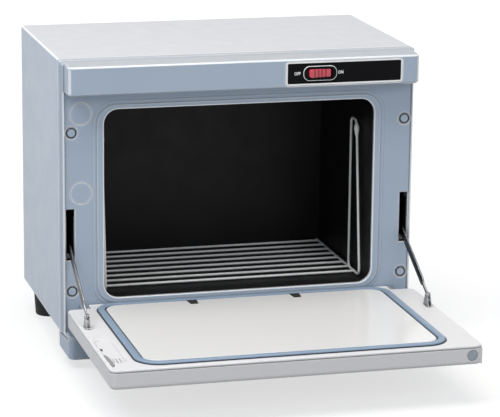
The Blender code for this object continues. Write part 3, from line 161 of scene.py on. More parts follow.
paper_floor = lay_floor()
print("floor's half width:", round(paper_floor.dimensions.x / 2, 2), "m")


# %% The world and the lamps
def light_world():
    """A pale blue sky that lights the cabinet, and plain white where the camera looks at it."""
    world = bpy.data.worlds.new("studio")
    world.use_nodes = True
    parts, links = world.node_tree.nodes, world.node_tree.links
    sky = parts["Background"]
    sky.inputs["Color"].default_value = (0.89, 0.94, 1.0, 1.0)
    sky.inputs["Strength"].default_value = 0.52
    white = parts.new("ShaderNodeBackground")
    white.inputs["Color"].default_value = (1.0, 1.0, 1.0, 1.0)
    white.inputs["Strength"].default_value = 1.0
    mix = parts.new("ShaderNodeMixShader")
    links.new(camera_share(parts, links), mix.inputs[0])
    links.new(sky.outputs[0], mix.inputs[1])
    links.new(white.outputs[0], mix.inputs[2])
    links.new(mix.outputs[0], parts["World Output"].inputs["Surface"])
    bpy.context.scene.world = world


def hang_lamp(name, place, target, size, power, colour):
    """A round soft lamp at a place, aimed at a target."""
    lamp = bpy.data.lights.new(name, "AREA")
    lamp.shape = "DISK"
    lamp.size = size
    lamp.energy = power
    lamp.color = colour
    holder = bpy.data.objects.new(name, lamp)
    holder.location = place
    holder.rotation_euler = (Vector(target) - Vector(place)).to_track_quat("-Z", "Y").to_euler()
    bpy.context.collection.objects.link(holder)


light_world()
hang_lamp("overhead lamp", (-0.3, -0.4, 2.6), (0.0, -0.05, 0.2), 2.0, 38.5, (1.0, 0.93, 0.84))
hang_lamp("front lamp", (0.6, -2.8, 1.8), (0.0, 0.0, 0.2), 1.2, 15.0, (0.95, 0.97, 1.0))
hang_lamp("left lamp", (-1.2, -0.6, 1.7), (-0.2, 0.0, 0.3), 0.7, 11.0, (0.86, 0.93, 1.0))
bpy.context.scene.view_settings.view_transform = "Standard"
print("lamps:", [lamp.name for lamp in bpy.data.lights])

# %% [markdown]
# ## Finishes
# Paint, moulded plastic and rubber each scatter light in their own way, and none is quite even. A finish
# here is a base colour with a slow drift in tone, a fine surface grain as bump, and a roughness that
# wanders a little, as hands and cloths leave it. The Bevel node rounds the look of every hard edge.
# The Ambient Occlusion node feels round a point for other faces: looking inward it finds outer edges,
# which a painted highlight makes pale, and looking outward it finds seams, which get painted shade. The
# Normal tells which faces look up, and these get a tone painted for the light that falls on them: greyer
# on the lit tops, darker on a shaded ledge. It also finds the rounded folds of a bent sheet, which face
# between two axes and get a painted highlight as a pale line.

# %% Patterns, edges and folds
def drift(parts, links, scale, detail):
    """A cloudy pattern fixed to the piece, sized in cells per metre."""
    place = parts.new("ShaderNodeTexCoord")
    noise = parts.new("ShaderNodeTexNoise")
    noise.inputs["Scale"].default_value = scale
    noise.inputs["Detail"].default_value = detail
    noise.inputs["Roughness"].default_value = 0.55
    links.new(place.outputs["Object"], noise.inputs["Vector"])
    return noise.outputs["Fac"]


def mixed(parts, links, factor, first, second):
    """Mix two colours, each a plain colour or another node's output."""
    blend = parts.new("ShaderNodeMix")
    blend.data_type = "RGBA"
    links.new(factor, blend.inputs["Factor"])
    for source, name in ((first, "A"), (second, "B")):
        if isinstance(source, tuple):
            blend.inputs[name].default_value = (*source, 1.0)
        else:
            links.new(source, blend.inputs[name])
    return blend.outputs["Result"]


def near_edge(parts, links, reach, share, inward):
    """The mask for a painted highlight on outer edges when looking inward, and for painted shade in
    seams when looking outward: zero on open ground, rising to share within reach.
    """
    feel = parts.new("ShaderNodeAmbientOcclusion")
    feel.samples = 8
    feel.inside = inward
    feel.only_local = inward
    feel.inputs["Distance"].default_value = reach
    least, most = (0.60, 0.93) if inward else (0.45, 0.92)
    return remap(parts, links, feel.outputs["AO"], share, 0.0, least, most)


def along_folds(parts, links, share):
    """The mask for a painted highlight on a bent sheet's folds: zero on faces square to the axes, rising
    to share on the rounded folds between them.
    """
    facing = parts.new("ShaderNodeNewGeometry")
    size = parts.new("ShaderNodeVectorMath")
    size.operation = "ABSOLUTE"
    links.new(facing.outputs["Normal"], size.inputs[0])
    axes = parts.new("ShaderNodeSeparateXYZ")
    links.new(size.outputs["Vector"], axes.inputs[0])
    widest = axes.outputs["X"]
    for axis in ("Y", "Z"):
        widest = combined(parts, links, "MAXIMUM", widest, axes.outputs[axis])
    fold_most, fold_least = 0.88, 0.95
    return remap(parts, links, widest, share, 0.0, fold_most, fold_least)


print("helpers:", [made.__name__ for made in (drift, mixed, near_edge, along_folds)])

# %% Finish maker
finishes = {}
# How much of its colour a piece keeps in the painted shade of its seams and gaps.
shade_keep = 0.12
highlight_keep, highlight_lift = 0.15, 0.83


def make_finish(name, colour, deep, roughness, wander=0.05, metal=0.0, grain=900.0, relief=0.05,
                cloud=14.0, coat=0.0, shine=0.5, edge=0.0007, painted_top_tone=None, edge_highlight=None, seam_shade=None,
                fold_highlight=0.0):
    """A finish whose colour drifts from colour to deep, and where a face looks up to a tone painted for
    the light that falls there.

    Two arguments are each a reach and a share, one for a painted highlight on outer edges and one for
    painted shade in seams and gaps, and a third is the share of the painted highlight on a sheet's
    rounded folds.
    """
    material = bpy.data.materials.new(name)
    parts, links, shader = node_tree(material)
    rounding = parts.new("ShaderNodeBevel")
    rounding.samples = 6
    rounding.inputs["Radius"].default_value = edge
    cloudy = remap(parts, links, drift(parts, links, cloud, 4.0), 0.0, 1.0)
    tone = mixed(parts, links, cloudy, colour, deep)
    # Faces that look up get a tone painted for how the light falls on them: greyer on lit tops, darker
    # on a shaded ledge.
    if painted_top_tone:
        facing = parts.new("ShaderNodeNewGeometry")
        height = parts.new("ShaderNodeSeparateXYZ")
        links.new(facing.outputs["Normal"], height.inputs[0])
        steep, flat = 0.55, 0.95
        upward_share = remap(parts, links, height.outputs["Z"], 0.0, 1.0, steep, flat)
        tone = mixed(parts, links, upward_share, tone, painted_top_tone)
    # Painted shade: seams, gaps and recesses are darkened towards near black.
    if seam_shade:
        shade_tone = tuple(channel * shade_keep for channel in colour)
        tone = mixed(parts, links, near_edge(parts, links, *seam_shade, inward=False), tone, shade_tone)
    # The pale tone is a painted highlight, near white, for outer edges and sheet folds.
    pale = tuple(channel * highlight_keep + highlight_lift for channel in colour)
    # The rounded folds of a sheet get the painted highlight.
    if fold_highlight:
        tone = mixed(parts, links, along_folds(parts, links, fold_highlight), tone, pale)
    # Outer edges get the painted highlight.
    if edge_highlight:
        tone = mixed(parts, links, near_edge(parts, links, *edge_highlight, inward=True), tone, pale)
    links.new(tone, shader.inputs["Base Color"])
    polish = drift(parts, links, cloud * 3, 3.0)
    uneven = remap(parts, links, polish, roughness - wander, roughness + wander)
    links.new(uneven, shader.inputs["Roughness"])
    bump = parts.new("ShaderNodeBump")
    bump.inputs["Strength"].default_value = relief
    bump.inputs["Distance"].default_value = 0.0004
    links.new(drift(parts, links, grain, 2.0), bump.inputs["Height"])
    links.new(rounding.outputs["Normal"], bump.inputs["Normal"])
    links.new(bump.outputs["Normal"], shader.inputs["Normal"])
    shader.inputs["Metallic"].default_value = metal
    shader.inputs["Specular IOR Level"].default_value = shine
    shader.inputs["Coat Weight"].default_value = coat
    shader.inputs["Coat Roughness"].default_value = 0.08
    finishes[name] = material


print("finishes so far:", len(finishes))

# %% [markdown]
# ## The cabinet's own finishes
# The wrap is stoved paint over steel, with a faint orange-peel. The moulded front is the same grey in
# plastic, a shade deeper, with a spark-eroded grain. The door is warm white, and the panel in it is
# smoother and glossier than the rim. The stays are bright steel: the dark room that their flat sides
# mirror is painted into the sides as a dark colour, and their edges carry painted glints.

# %% The finishes
make_finish("shell paint", (0.455, 0.530, 0.630), (0.44, 0.515, 0.615), 0.36,
            grain=420.0, relief=0.07, edge=0.0012, painted_top_tone=(0.505, 0.515, 0.545), edge_highlight=(0.0011, 1.0),
            fold_highlight=1.0)
make_finish("back paint", (0.455, 0.530, 0.630), (0.44, 0.515, 0.615), 0.40,
            grain=420.0, relief=0.07, edge=0.0012, seam_shade=(0.0030, 0.8))
make_finish("front plastic", (0.385, 0.460, 0.560), (0.370, 0.445, 0.545), 0.36,
            grain=1300.0, relief=0.09, edge=0.0016, painted_top_tone=(0.360, 0.380, 0.410), edge_highlight=(0.0022, 1.0),
            seam_shade=(0.0030, 0.9))
make_finish("rail plastic", (0.375, 0.450, 0.550), (0.360, 0.435, 0.535), 0.40,
            grain=1300.0, relief=0.09, edge=0.0012, painted_top_tone=(0.18, 0.215, 0.25), edge_highlight=(0.0009, 0.8),
            seam_shade=(0.0022, 0.9))
make_finish("plug plastic", (0.395, 0.470, 0.570), (0.380, 0.455, 0.555), 0.36,
            grain=1300.0, relief=0.06, edge=0.0003, seam_shade=(0.0022, 1.0))
make_finish("door plastic", (0.735, 0.725, 0.735), (0.72, 0.71, 0.72), 0.50,
            grain=1200.0, relief=0.05, shine=0.2, edge=0.0012, edge_highlight=(0.0011, 1.0), seam_shade=(0.0030, 0.85))
make_finish("panel white", (0.79, 0.78, 0.775), (0.78, 0.77, 0.765), 0.18, wander=0.02,
            grain=30.0, relief=0.005, shine=0.22, edge_highlight=(0.0010, 1.0), seam_shade=(0.0015, 0.7))
make_finish("border white", (0.95, 0.95, 0.95), (0.94, 0.94, 0.94), 0.35,
            grain=1200.0, relief=0.04)
# Painted highlights: near-white bands for the bright lines along the lip and the visor's upper edge.
make_finish("painted lip highlight", (0.95, 0.96, 0.97), (0.93, 0.94, 0.96), 0.24,
            grain=1200.0, relief=0.03, edge=0.0002)
make_finish("painted visor highlight", (0.80, 0.84, 0.88), (0.77, 0.81, 0.86), 0.24,
            grain=1200.0, relief=0.03, edge=0.0002)
make_finish("gasket rubber", (0.255, 0.335, 0.440), (0.235, 0.315, 0.420), 0.50,
            grain=1200.0, relief=0.10)
# Near black: painted shade for the groove beside the gasket, on its fins.
make_finish("gasket fin shade", (0.035, 0.045, 0.065), (0.030, 0.038, 0.055), 0.60,
            grain=1200.0, relief=0.10, shine=0.2)
make_finish("black rubber", (0.018, 0.018, 0.019), (0.030, 0.030, 0.031), 0.72,
            grain=1100.0, relief=0.35, shine=0.3)
make_finish("black gloss", (0.004, 0.004, 0.005), (0.006, 0.006, 0.007), 0.16,
            wander=0.03, grain=200.0, relief=0.01, shine=0.05)
make_finish("red lens", (0.66, 0.045, 0.080), (0.58, 0.030, 0.062), 0.20,
            grain=500.0, relief=0.05, cloud=120.0, coat=0.6)
# A deeper red painted into the rocker's rib valleys as shade.
make_finish("red valley shade", (0.30, 0.006, 0.020), (0.25, 0.004, 0.016), 0.30,
            grain=500.0, relief=0.05, coat=0.3)
# Both stay finishes paint reflections: the sides are dark for the dark room they mirror, and the edges
# drift from light to dark as painted glints.
make_finish("stay edge", (0.34, 0.35, 0.37), (0.07, 0.072, 0.08), 0.26, metal=1.0,
            grain=900.0, relief=0.06, cloud=24.0)
make_finish("stay side", (0.045, 0.047, 0.052), (0.020, 0.021, 0.024), 0.28, metal=1.0,
            grain=900.0, relief=0.06, cloud=30.0)
make_finish("bracket steel", (0.34, 0.35, 0.37), (0.16, 0.165, 0.175), 0.24, metal=1.0,
            grain=900.0, relief=0.08, cloud=160.0, edge_highlight=(0.0005, 0.8), seam_shade=(0.0030, 0.9))
make_finish("magnet steel", (0.30, 0.34, 0.385), (0.25, 0.285, 0.33), 0.42,
            metal=0.4, grain=700.0, relief=0.10, cloud=200.0, seam_shade=(0.0020, 0.7))
make_finish("zinc steel", (0.60, 0.61, 0.62), (0.48, 0.49, 0.50), 0.38,
            wander=0.10, metal=1.0, grain=700.0, relief=0.10, cloud=120.0, seam_shade=(0.0020, 0.6))
make_finish("guide steel", (0.14, 0.14, 0.145), (0.07, 0.07, 0.075), 0.42,
            wander=0.08, metal=1.0, grain=700.0, relief=0.10, cloud=90.0)
make_finish("chamber enamel", (0.004, 0.004, 0.005), (0.008, 0.008, 0.008), 0.45,
            grain=600.0, relief=0.10, shine=0.2)
make_finish("wire coating", (0.78, 0.78, 0.76), (0.74, 0.74, 0.72), 0.30,
            grain=700.0, relief=0.06)
# Real print for the two words, and a painted highlight for the pale line round the bezel.
make_finish("pale print and painted bezel highlight", (0.93, 0.94, 0.94), (0.90, 0.91, 0.92), 0.45,
            grain=900.0, relief=0.02, edge=0.0001)
make_finish("glass wool", (0.72, 0.66, 0.38), (0.60, 0.53, 0.28), 0.95,
            grain=700.0, relief=0.80, cloud=60.0)
make_finish("heater rubber", (0.50, 0.16, 0.08), (0.42, 0.12, 0.06), 0.60,
            grain=900.0, relief=0.30)
print("finishes:", len(finishes))

# %% [markdown]
# ## Which node wears which finish
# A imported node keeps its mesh, so we change only its material. Each rule below names the start of a
# node's name, and the first rule that fits wins, so exact names come before the general ones.

# %% Put the finishes on the nodes
wearing = [
    ("outer_shell", "shell paint"), ("back_panel", "back paint"), ("front_frame", "front plastic"),
    ("base_rail", "rail plastic"), ("face_plug", "plug plastic"), ("door_inner_panel", "panel white"),
    ("door_gasket", "gasket rubber"), ("door_insulation", "glass wool"), ("door_", "door plastic"),
    ("hinge_bush", "door plastic"), ("panel_border", "border white"), ("thermostat", "door plastic"),
    ("foot_screw", "zinc steel"), ("foot_", "black rubber"), ("gasket_clip", "black rubber"),
    ("cord_inlet_bush", "black rubber"), ("terminal_block", "black gloss"),
    ("control_panel", "black gloss"), ("switch_housing", "black gloss"), ("power_rocker", "red lens"),
    ("stay_left", "stay edge"), ("stay_right", "stay edge"), ("stay_guide", "guide steel"),
    ("stay_rest", "guide steel"), ("towel_chamber", "chamber enamel"), ("wire_rack", "wire coating"),
    ("insulation_blanket", "glass wool"), ("heater_plate", "heater rubber"),
    ("catch_magnet", "magnet steel"), ("", "zinc steel")]


def wear(piece, finish):
    """Give a piece one finish, on the object and not on its mesh."""
    if not piece.material_slots:
        piece.data.materials.append(finishes[finish])
    for slot in piece.material_slots:
        slot.link = "OBJECT"
        slot.material = finishes[finish]


for node_name, node in nodes.items():
    wear(node, next(finish for start, finish in wearing if node_name.startswith(start)))
print("dressed nodes:", len(nodes))

# %% [markdown]
# ## Making a piece
# A new piece is skinned over a row of loops: outlines with the same number of points, one after the
# other. Plates, rings, turned knobs and soft bands all come out of this one idea, and only their loops
# differ. Each piece is then hung on the body that carries it and, where it is finer than a packed
# solid, stands for that solid. Its sizes are read from the solid's own box, so it stays in place.

# %% Skin a row of loops
sharp_angle = 32.0


def as_piece(name, made, sharp=sharp_angle):
    """Make an object of a finished bmesh, smooth except at its sharp edges."""
    bmesh.ops.remove_doubles(made, verts=made.verts, dist=0.000002)
    bmesh.ops.recalc_face_normals(made, faces=made.faces)
    mesh = bpy.data.meshes.new(name)
    made.to_mesh(mesh)
    made.free()
    mesh.shade_smooth()
    mesh.set_sharp_from_angle(angle=radians(sharp))
    piece = bpy.data.objects.new(name, mesh)
    bpy.context.collection.objects.link(piece)
    return piece


def add_skin(made, loops, endless=False):
    """Skin a row of loops; the row closes on itself, or both its ends are capped."""
    rows = [[made.verts.new(point) for point in loop] for loop in loops]
    pairs = list(zip(rows, rows[1:]))
    if endless:
        pairs.append((rows[-1], rows[0]))
    else:
        made.faces.new(rows[0])
        made.faces.new(rows[-1])
    for low, high in pairs:
        for index in range(len(low)):
            after = (index + 1) % len(low)
            made.faces.new((low[index], low[after], high[after], high[index]))


def skin(name, loops, endless=False, sharp=sharp_angle):
    """Skin a row of loops as a new object."""
    made = bmesh.new()
    add_skin(made, loops, endless)
    return as_piece(name, made, sharp)


print("edges stay sharp above", sharp_angle, "degrees")

# %% Turn a profile, round a rectangle
round_steps = 12
turn_steps = 48


def turned_loops(profile, middle, axis, steps=turn_steps):
    """Loops of a profile of radius and distance, turned about an axis through middle."""
    spin = Vector(axis).to_track_quat("Z", "X")
    loops = []
    turns = [2 * pi * step / steps for step in range(steps)]
    for radius, along in profile:
        ring = [Vector((radius * cos(turn), radius * sin(turn), along)) for turn in turns]
        loops.append([Vector(middle) + spin @ point for point in ring])
    return loops


def rounded(width, height, radius, inset=0.0):
    """A rounded rectangle about the origin, drawn in by inset."""
    least_radius = 0.0002
    radius = max(radius - inset, least_radius)
    across, along = width / 2 - inset - radius, height / 2 - inset - radius
    points = []
    for turn, (side, end) in enumerate(((1, 1), (-1, 1), (-1, -1), (1, -1))):
        for step in range(round_steps + 1):
            angle = pi / 2 * (turn + step / round_steps)
            points.append((side * across + radius * cos(angle), end * along + radius * sin(angle)))
    return points


print("steps in a full turn:", turn_steps, "and in a rounded corner:", round_steps)


# %% Settle a piece on its body
def settle(piece, finish, body, *solids):
    """Dress a piece, hang it on its body and let it stand for the solids it is finer than."""
    wear(piece, finish)
    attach(piece, body)
    if solids:
        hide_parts(*solids)
    return piece


def second_finish(piece, finish, picks):
    """Give the faces that a test picks a finish of their own."""
    piece.data.materials.append(finishes[finish])
    piece.material_slots[1].link = "OBJECT"
    piece.material_slots[1].material = finishes[finish]
    for face in piece.data.polygons:
        face.material_index = 1 if picks(face) else 0
    return piece


def corners_of(node):
    """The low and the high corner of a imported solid's box."""
    low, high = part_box(node)
    return Vector(low), Vector(high)


def middle_of(node):
    """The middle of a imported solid's box."""
    low, high = corners_of(node)
    return (low + high) / 2


shell_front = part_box("outer_shell")[0][1]
print("shell's front edge at y:", round(shell_front, 4))

# %% [markdown]
# ## The door's gasket
# The gasket is an extruded rubber band, laid on the door round the white panel. Its crown comes up to
# the lip of the opening when the door shuts, and a thin fin at each side lies on the door, painted near
# black as the shade in the groove beside it. It could be a curve with a bevel, but a band of loops keeps
# the corners' inner and outer radii true, and lets the faces of the fins take a finish of their own.

# %% The gasket
def make_gasket():
    """A closed band whose section runs from one flat fin over a round crown to the other fin."""
    low, high = corners_of("door_gasket")
    width, depth, rise = high.x - low.x, high.y - low.y, high.z - low.z
    band, corner, fullness = 0.0110, 0.030, 0.6
    fin, fin_side, fin_top, crown_foot = 0.0012, 0.0006, 0.0008, 0.0010
    levels = [(0.0, 0.0), (0.0, fin_side), (fin, fin_top)]
    for step in range(round_steps + 1):
        angle = pi * step / round_steps
        crown = crown_foot + (rise - crown_foot) * sin(angle) ** fullness
        levels.append((band / 2 - (band / 2 - fin) * cos(angle), crown))
    levels += [(band - fin, fin_top), (band, fin_side), (band, 0.0)]
    centre = (low + high) / 2
    loops = [[Vector((centre.x + x, centre.y + y, low.z + level))
              for x, y in rounded(width, depth, corner, inset)] for inset, level in levels]
    piece = skin("gasket_band", loops, endless=True, sharp=50.0)
    settle(piece, "gasket rubber", "door", "door_gasket")
    fin_level = low.z + (fin_top + crown_foot) / 2
    # The fins take the painted shade.
    return second_finish(piece, "gasket fin shade", lambda face: face.center.z < fin_level)


gasket = make_gasket()
print("gasket faces:", len(gasket.data.polygons))

# %% [markdown]
# ## The drain slot in the finger recess
# A short dark slot lies in the floor of the finger recess. A real one would be cut with a Boolean, but
# the imported liner stays as it is, so a thin frame round a sunk floor, all black as painted shade for
# the inside of the slot, is laid on it instead.

# %% Drain slot
scoop_depth = 0.0016
drain_middle = (-0.2152, -0.1893)


def make_drain_slot():
    """A rounded frame, low and black, whose middle is capped a little lower than its rim."""
    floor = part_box("door_liner")[1][2] - scoop_depth
    width, length, corner = 0.0022, 0.0090, 0.0011
    sections = [(0.0, -0.0003), (0.0, 0.0001), (0.0001, 0.0002), (0.0004, 0.0002), (0.0005, 0.00005)]
    loops = [[Vector((drain_middle[0] + x, drain_middle[1] + y, floor + level))
              for x, y in rounded(width, length, corner, inset)] for inset, level in sections]
    # All black: painted shade for the inside of the slot.
    return settle(skin("drain_slot", loops), "black rubber", "door")


drain_slot = make_drain_slot()
print("drain slot faces:", len(drain_slot.data.polygons))

# %% [markdown]
# ## Painted highlights on the moulded front's edges
# The lip round the opening ends in a small rounded edge, and a band on it is painted near white as a
# highlight, so it shows as a bright line; the visor's upper front edge gets such a painted highlight
# too, a little less pale. A band of its own can be rounded more finely than the solid under it. The
# lip's band
# closes on itself: its section is a row of points, each so far outward from the opening and so far in
# front of the lip's face. The visor's band is open: a quarter round, carried along the front and a
# little way round each corner.

# %% Lip edge
opening_half, opening_low, opening_high, opening_corner = 0.172, 0.042, 0.279, 0.018
lip_reach = 0.0198


def make_lip_edge():
    """A closed band on the lip's front edge, a hair proud of the solid."""
    shell_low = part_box("outer_shell")[0][2]
    centre_height = shell_low + (opening_low + opening_high) / 2
    section = [(0.0, -0.0016), (0.0, -0.0007), (0.0002, -0.0002), (0.0006, 0.0001), (0.0011, 0.0001),
               (0.0015, -0.0003), (0.0015, -0.0016)]
    loops = []
    for outward, forward in section:
        outline = rounded(2 * opening_half, opening_high - opening_low, opening_corner, -outward)
        y = shell_front - lip_reach - forward
        loops.append([Vector((x, y, centre_height + z)) for x, z in outline])
    # Pale as a painted highlight.
    return settle(skin("lip_edge", loops, endless=True), "painted lip highlight", "cabinet")


lip_edge = make_lip_edge()
print("lip edge faces:", len(lip_edge.data.polygons))


# %% Visor edge
def make_visor_edge():
    """A quarter round that turns the left corner, runs along the front and turns the right corner."""
    low, high = corners_of("front_frame")
    inset, drop, corner = 0.0040, 0.0030, 0.0060
    radius, proud, steps = 0.0023, 0.0001, 8
    half, front_face, top = high.x - inset, low.y, high.z - drop
    turns = [pi / 2 * step / steps for step in range(steps + 1)]
    path = [(corner - half - corner * cos(turn), front_face + corner - corner * sin(turn),
             -cos(turn), -sin(turn)) for turn in turns]
    path += [(-x, y, -out_x, out_y) for x, y, out_x, out_y in reversed(path)]
    loops = []
    for x, y, out_x, out_y in path:
        outward = Vector((out_x, out_y, 0.0))
        middle = Vector((x, y, top)) - outward * (radius - proud) - Vector((0.0, 0.0, radius - proud))
        arc = [outward * radius * cos(lift) + Vector((0.0, 0.0, radius * sin(lift))) for lift in turns]
        loops.append([middle] + [middle + reach for reach in arc])
    # Pale as a painted highlight.
    return settle(skin("visor_edge", loops), "painted visor highlight", "cabinet")


visor_edge = make_visor_edge()
print("visor edge faces:", len(visor_edge.data.polygons))

# %% [markdown]
# ## Plugs and feet
# Round parts are turned: a profile of radius against length, spun about its axis. The plugs hide the
# screws of the moulded front: each is a flat button with a groove just inside its rim, whose floor is
# painted black as shade. The feet are tapered rubber with a rounded tread, a waist under the top and a
# deep bore for the screw.

# %% Plugs over the frame's screws
def make_plug(node):
    """A button with a groove inside its rim and a stem behind it, black from the groove's floor back as
    painted shade.
    """
    low, high = corners_of(node)
    radius, stem, head = (high.x - low.x) / 2, 0.0030, 0.0014
    soft, groove_floor = 0.0002, head - 0.0012
    back = Vector((middle_of(node).x, low.y + head, middle_of(node).z))
    profile = [(stem, low.y + head - high.y), (stem, 0.0), (radius - soft, 0.0), (radius, soft),
               (radius, head - soft), (radius - soft, head), (radius - 0.0004, head - soft),
               (radius - 0.0005, groove_floor), (radius - 0.0017, groove_floor),
               (radius - 0.0018, head - soft), (radius - 0.0021, head), (0.0008, head)]
    piece = skin(node.replace("face_plug", "plug"), turned_loops(profile, back, (0.0, -1.0, 0.0)))
    settle(piece, "plug plastic", "cabinet", node)
    # The groove's floor and the parts behind it are painted black as shade.
    return second_finish(piece, "black rubber", lambda face: face.center.y > low.y + head / 2)


plugs = [make_plug(node) for node in sorted(nodes) if node.startswith("face_plug")]
print("plugs:", len(plugs))


# %% Rubber feet
def make_foot(node):
    """A tapered foot with a bore for its screw, open right through."""
    low, high = corners_of(node)
    top, bore, bore_top, hole = high.z, 0.0062, 0.022, 0.0023
    wide, narrow, waist, soft = (high.x - low.x) / 2, 0.0175, 0.0008, 0.0008

    def side(height, sunk=0.0):
        """A point of the tapered side, or of a groove sunk into it."""
        return narrow + (wide - narrow) * height / top - sunk, height

    profile = [(bore, 0.0010), (bore + 0.0010, 0.0), (narrow - 0.0045, 0.0), (narrow - 0.0040, 0.0008),
               (narrow - 0.0030, 0.0008), (narrow - 0.0025, 0.0), (narrow - 0.0016, 0.0),
               (narrow - 0.0005, 0.0006), side(0.0020), side(top - 0.0070), side(top - 0.0062, waist),
               side(top - 0.0040, waist), side(top - 0.0030), (wide, top - soft), (wide - soft, top),
               (hole, top), (hole, bore_top), (bore, bore_top)]
    centre = middle_of(node)
    loops = turned_loops(profile, (centre.x, centre.y, 0.0), (0.0, 0.0, 1.0))
    piece = skin(node.replace("foot", "rubber_foot"), loops, endless=True)
    return settle(piece, "black rubber", "cabinet", node)


feet = [make_foot(node) for node in sorted(nodes) if node.startswith("foot_") and "screw" not in node]
print("feet:", len(feet))

# %% [markdown]
# ## Screws with a cross recess
# The back panel and the feet are held by pan-headed screws. A head is turned, and a cross is then cut
# into it with a Boolean, which is applied at once so that nothing but the finished mesh is kept.

# %% Screws
def carve(piece, tool):
    """Cut a tool out of a piece and keep only the result, not the tool."""
    cutter = piece.modifiers.new("cut", "BOOLEAN")
    cutter.operation = "DIFFERENCE"
    cutter.solver = "EXACT"
    cutter.object = tool
    bpy.context.view_layer.update()
    carved = piece.evaluated_get(bpy.context.evaluated_depsgraph_get())
    cut_mesh = bpy.data.meshes.new_from_object(carved)
    piece.modifiers.remove(cutter)
    piece.data = cut_mesh
    piece.data.set_sharp_from_angle(angle=radians(sharp_angle))
    bpy.data.objects.remove(tool, do_unlink=True)


def cross_tool(crown, outward, arm, depth):
    """A four-armed prism that sinks depth into a head whose crown is at this point."""
    half, taper, clear = 0.00045, 0.6, 0.002
    plan = [(half, arm), (-half, arm), (-half, half), (-arm, half), (-arm, -half), (-half, -half),
            (-half, -arm), (half, -arm), (half, -half), (arm, -half), (arm, half), (half, half)]
    spin = Vector(outward).to_track_quat("Z", "X")
    made = bmesh.new()
    add_skin(made, [[crown + spin @ Vector((x * taper, y * taper, -depth)) for x, y in plan],
                    [crown + spin @ Vector((x, y, clear)) for x, y in plan]])
    return as_piece("cross_tool", made)


def make_screw(node, outward, head, head_height, shank):
    """A pan head on its shank, which ends where the solid's does."""
    low, high = corners_of(node)
    outward = Vector(outward)
    centre = middle_of(node)
    length = abs((high - low).dot(outward))
    tip, crown = centre - outward * length / 2, centre + outward * length / 2
    seat = length - head_height
    point, soft, rim, dome_steps, around = 0.0008, 0.0002, 0.0003, 6, 32
    profile = [(shank * 0.6, 0.0), (shank, point), (shank, seat), (head - soft, seat),
               (head, seat + rim)]
    for step in range(1, dome_steps + 1):
        angle = pi / 2 * step / dome_steps
        radius = max(head * cos(angle), soft)
        profile.append((radius, seat + rim + (head_height - rim) * sin(angle)))
    piece = skin(node + "_head", turned_loops(profile, tip, outward, around))
    cross_arm, cross_depth = head * 0.55, head_height * 0.6
    carve(piece, cross_tool(crown, outward, cross_arm, cross_depth))
    return settle(piece, "zinc steel", "cabinet", node)


screws = [make_screw(node, (0.0, 1.0, 0.0), 0.0040, 0.0020, 0.0016)
          for node in sorted(nodes) if node.startswith("back_screw")]
screws += [make_screw(node, (0.0, 0.0, -1.0), 0.0050, 0.0030, 0.0020)
           for node in sorted(nodes) if node.startswith("foot_screw")]
print("screws:", len(screws))

# %% [markdown]
# ## The wire rack
# The rack is coated wire, welded where it crosses. A wire is drawn as a path and given its thickness by
# the curve's own bevel, which stays round in every bend. At each side a loop leans back from the front,
# and a drop-shaped tip slides over its upper end to spare the fingers.

# %% Bend and draw the wires
wire_radius, tip_radius, tip_length = 0.0016, 0.0034, 0.016
rack_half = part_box("wire_rack")[1][0] - tip_radius
rack_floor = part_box("wire_rack")[0][2] + wire_radius
rack_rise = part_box("wire_rack")[1][2] - wire_radius - rack_floor
rack_front, rack_upright, rack_lean, rack_back = 0.006, 0.052, 0.024, 0.196
rack_bend = 0.010


def bend_path(corners, closed):
    """Round the corners of a path with short curved bends."""
    path = []
    for index, corner in enumerate(corners):
        here = Vector(corner)
        if not closed and index in (0, len(corners) - 1):
            path.append(here)
            continue
        before = (Vector(corners[index - 1]) - here).normalized()
        after = (Vector(corners[(index + 1) % len(corners)]) - here).normalized()
        start, end = here + before * rack_bend, here + after * rack_bend
        for step in range(round_steps + 1):
            share = step / round_steps
            path.append(start * (1 - share) ** 2 + here * 2 * share * (1 - share) + end * share ** 2)
    return path


def draw_wires(name, paths, radius):
    """One curve with a round section along several paths."""
    curve = bpy.data.curves.new(name, "CURVE")
    curve.dimensions = "3D"
    curve.bevel_depth = radius
    curve.bevel_resolution = 5
    curve.use_fill_caps = True
    for points, closed in paths:
        spline = curve.splines.new("POLY")
        spline.points.add(len(points) - 1)
        for place, point in zip(spline.points, points):
            place.co = (*point, 1.0)
        spline.use_cyclic_u = closed
    piece = bpy.data.objects.new(name, curve)
    bpy.context.collection.objects.link(piece)
    return piece


def inward(reach):
    """The y of a place this far behind the shell's front edge."""
    return shell_front + reach


def make_rack():
    """Two side loops, a wire running back from each, and the floor wires across them."""
    paths = []
    for side in (-1, 1):
        x, top = side * rack_half, rack_floor + rack_rise
        loop = [(x, inward(rack_front), rack_floor), (x, inward(rack_upright), rack_floor),
                (x, inward(rack_upright), top), (x, inward(rack_front + rack_lean), top)]
        paths.append((bend_path(loop, True), True))
        paths.append(([Vector((x, inward(rack_upright) - 2 * rack_bend, rack_floor)),
                       Vector((x, inward(rack_back), rack_floor))], False))
    first, last, count = rack_front + 2 * rack_bend, rack_back - rack_bend, 8
    for number in range(count):
        y = inward(first + (last - first) * number / (count - 1))
        level = rack_floor + wire_radius / 2
        paths.append(([Vector((-rack_half, y, level)), Vector((rack_half, y, level))], False))
    return settle(draw_wires("rack_wires", paths, wire_radius), "wire coating", "cabinet", "wire_rack")


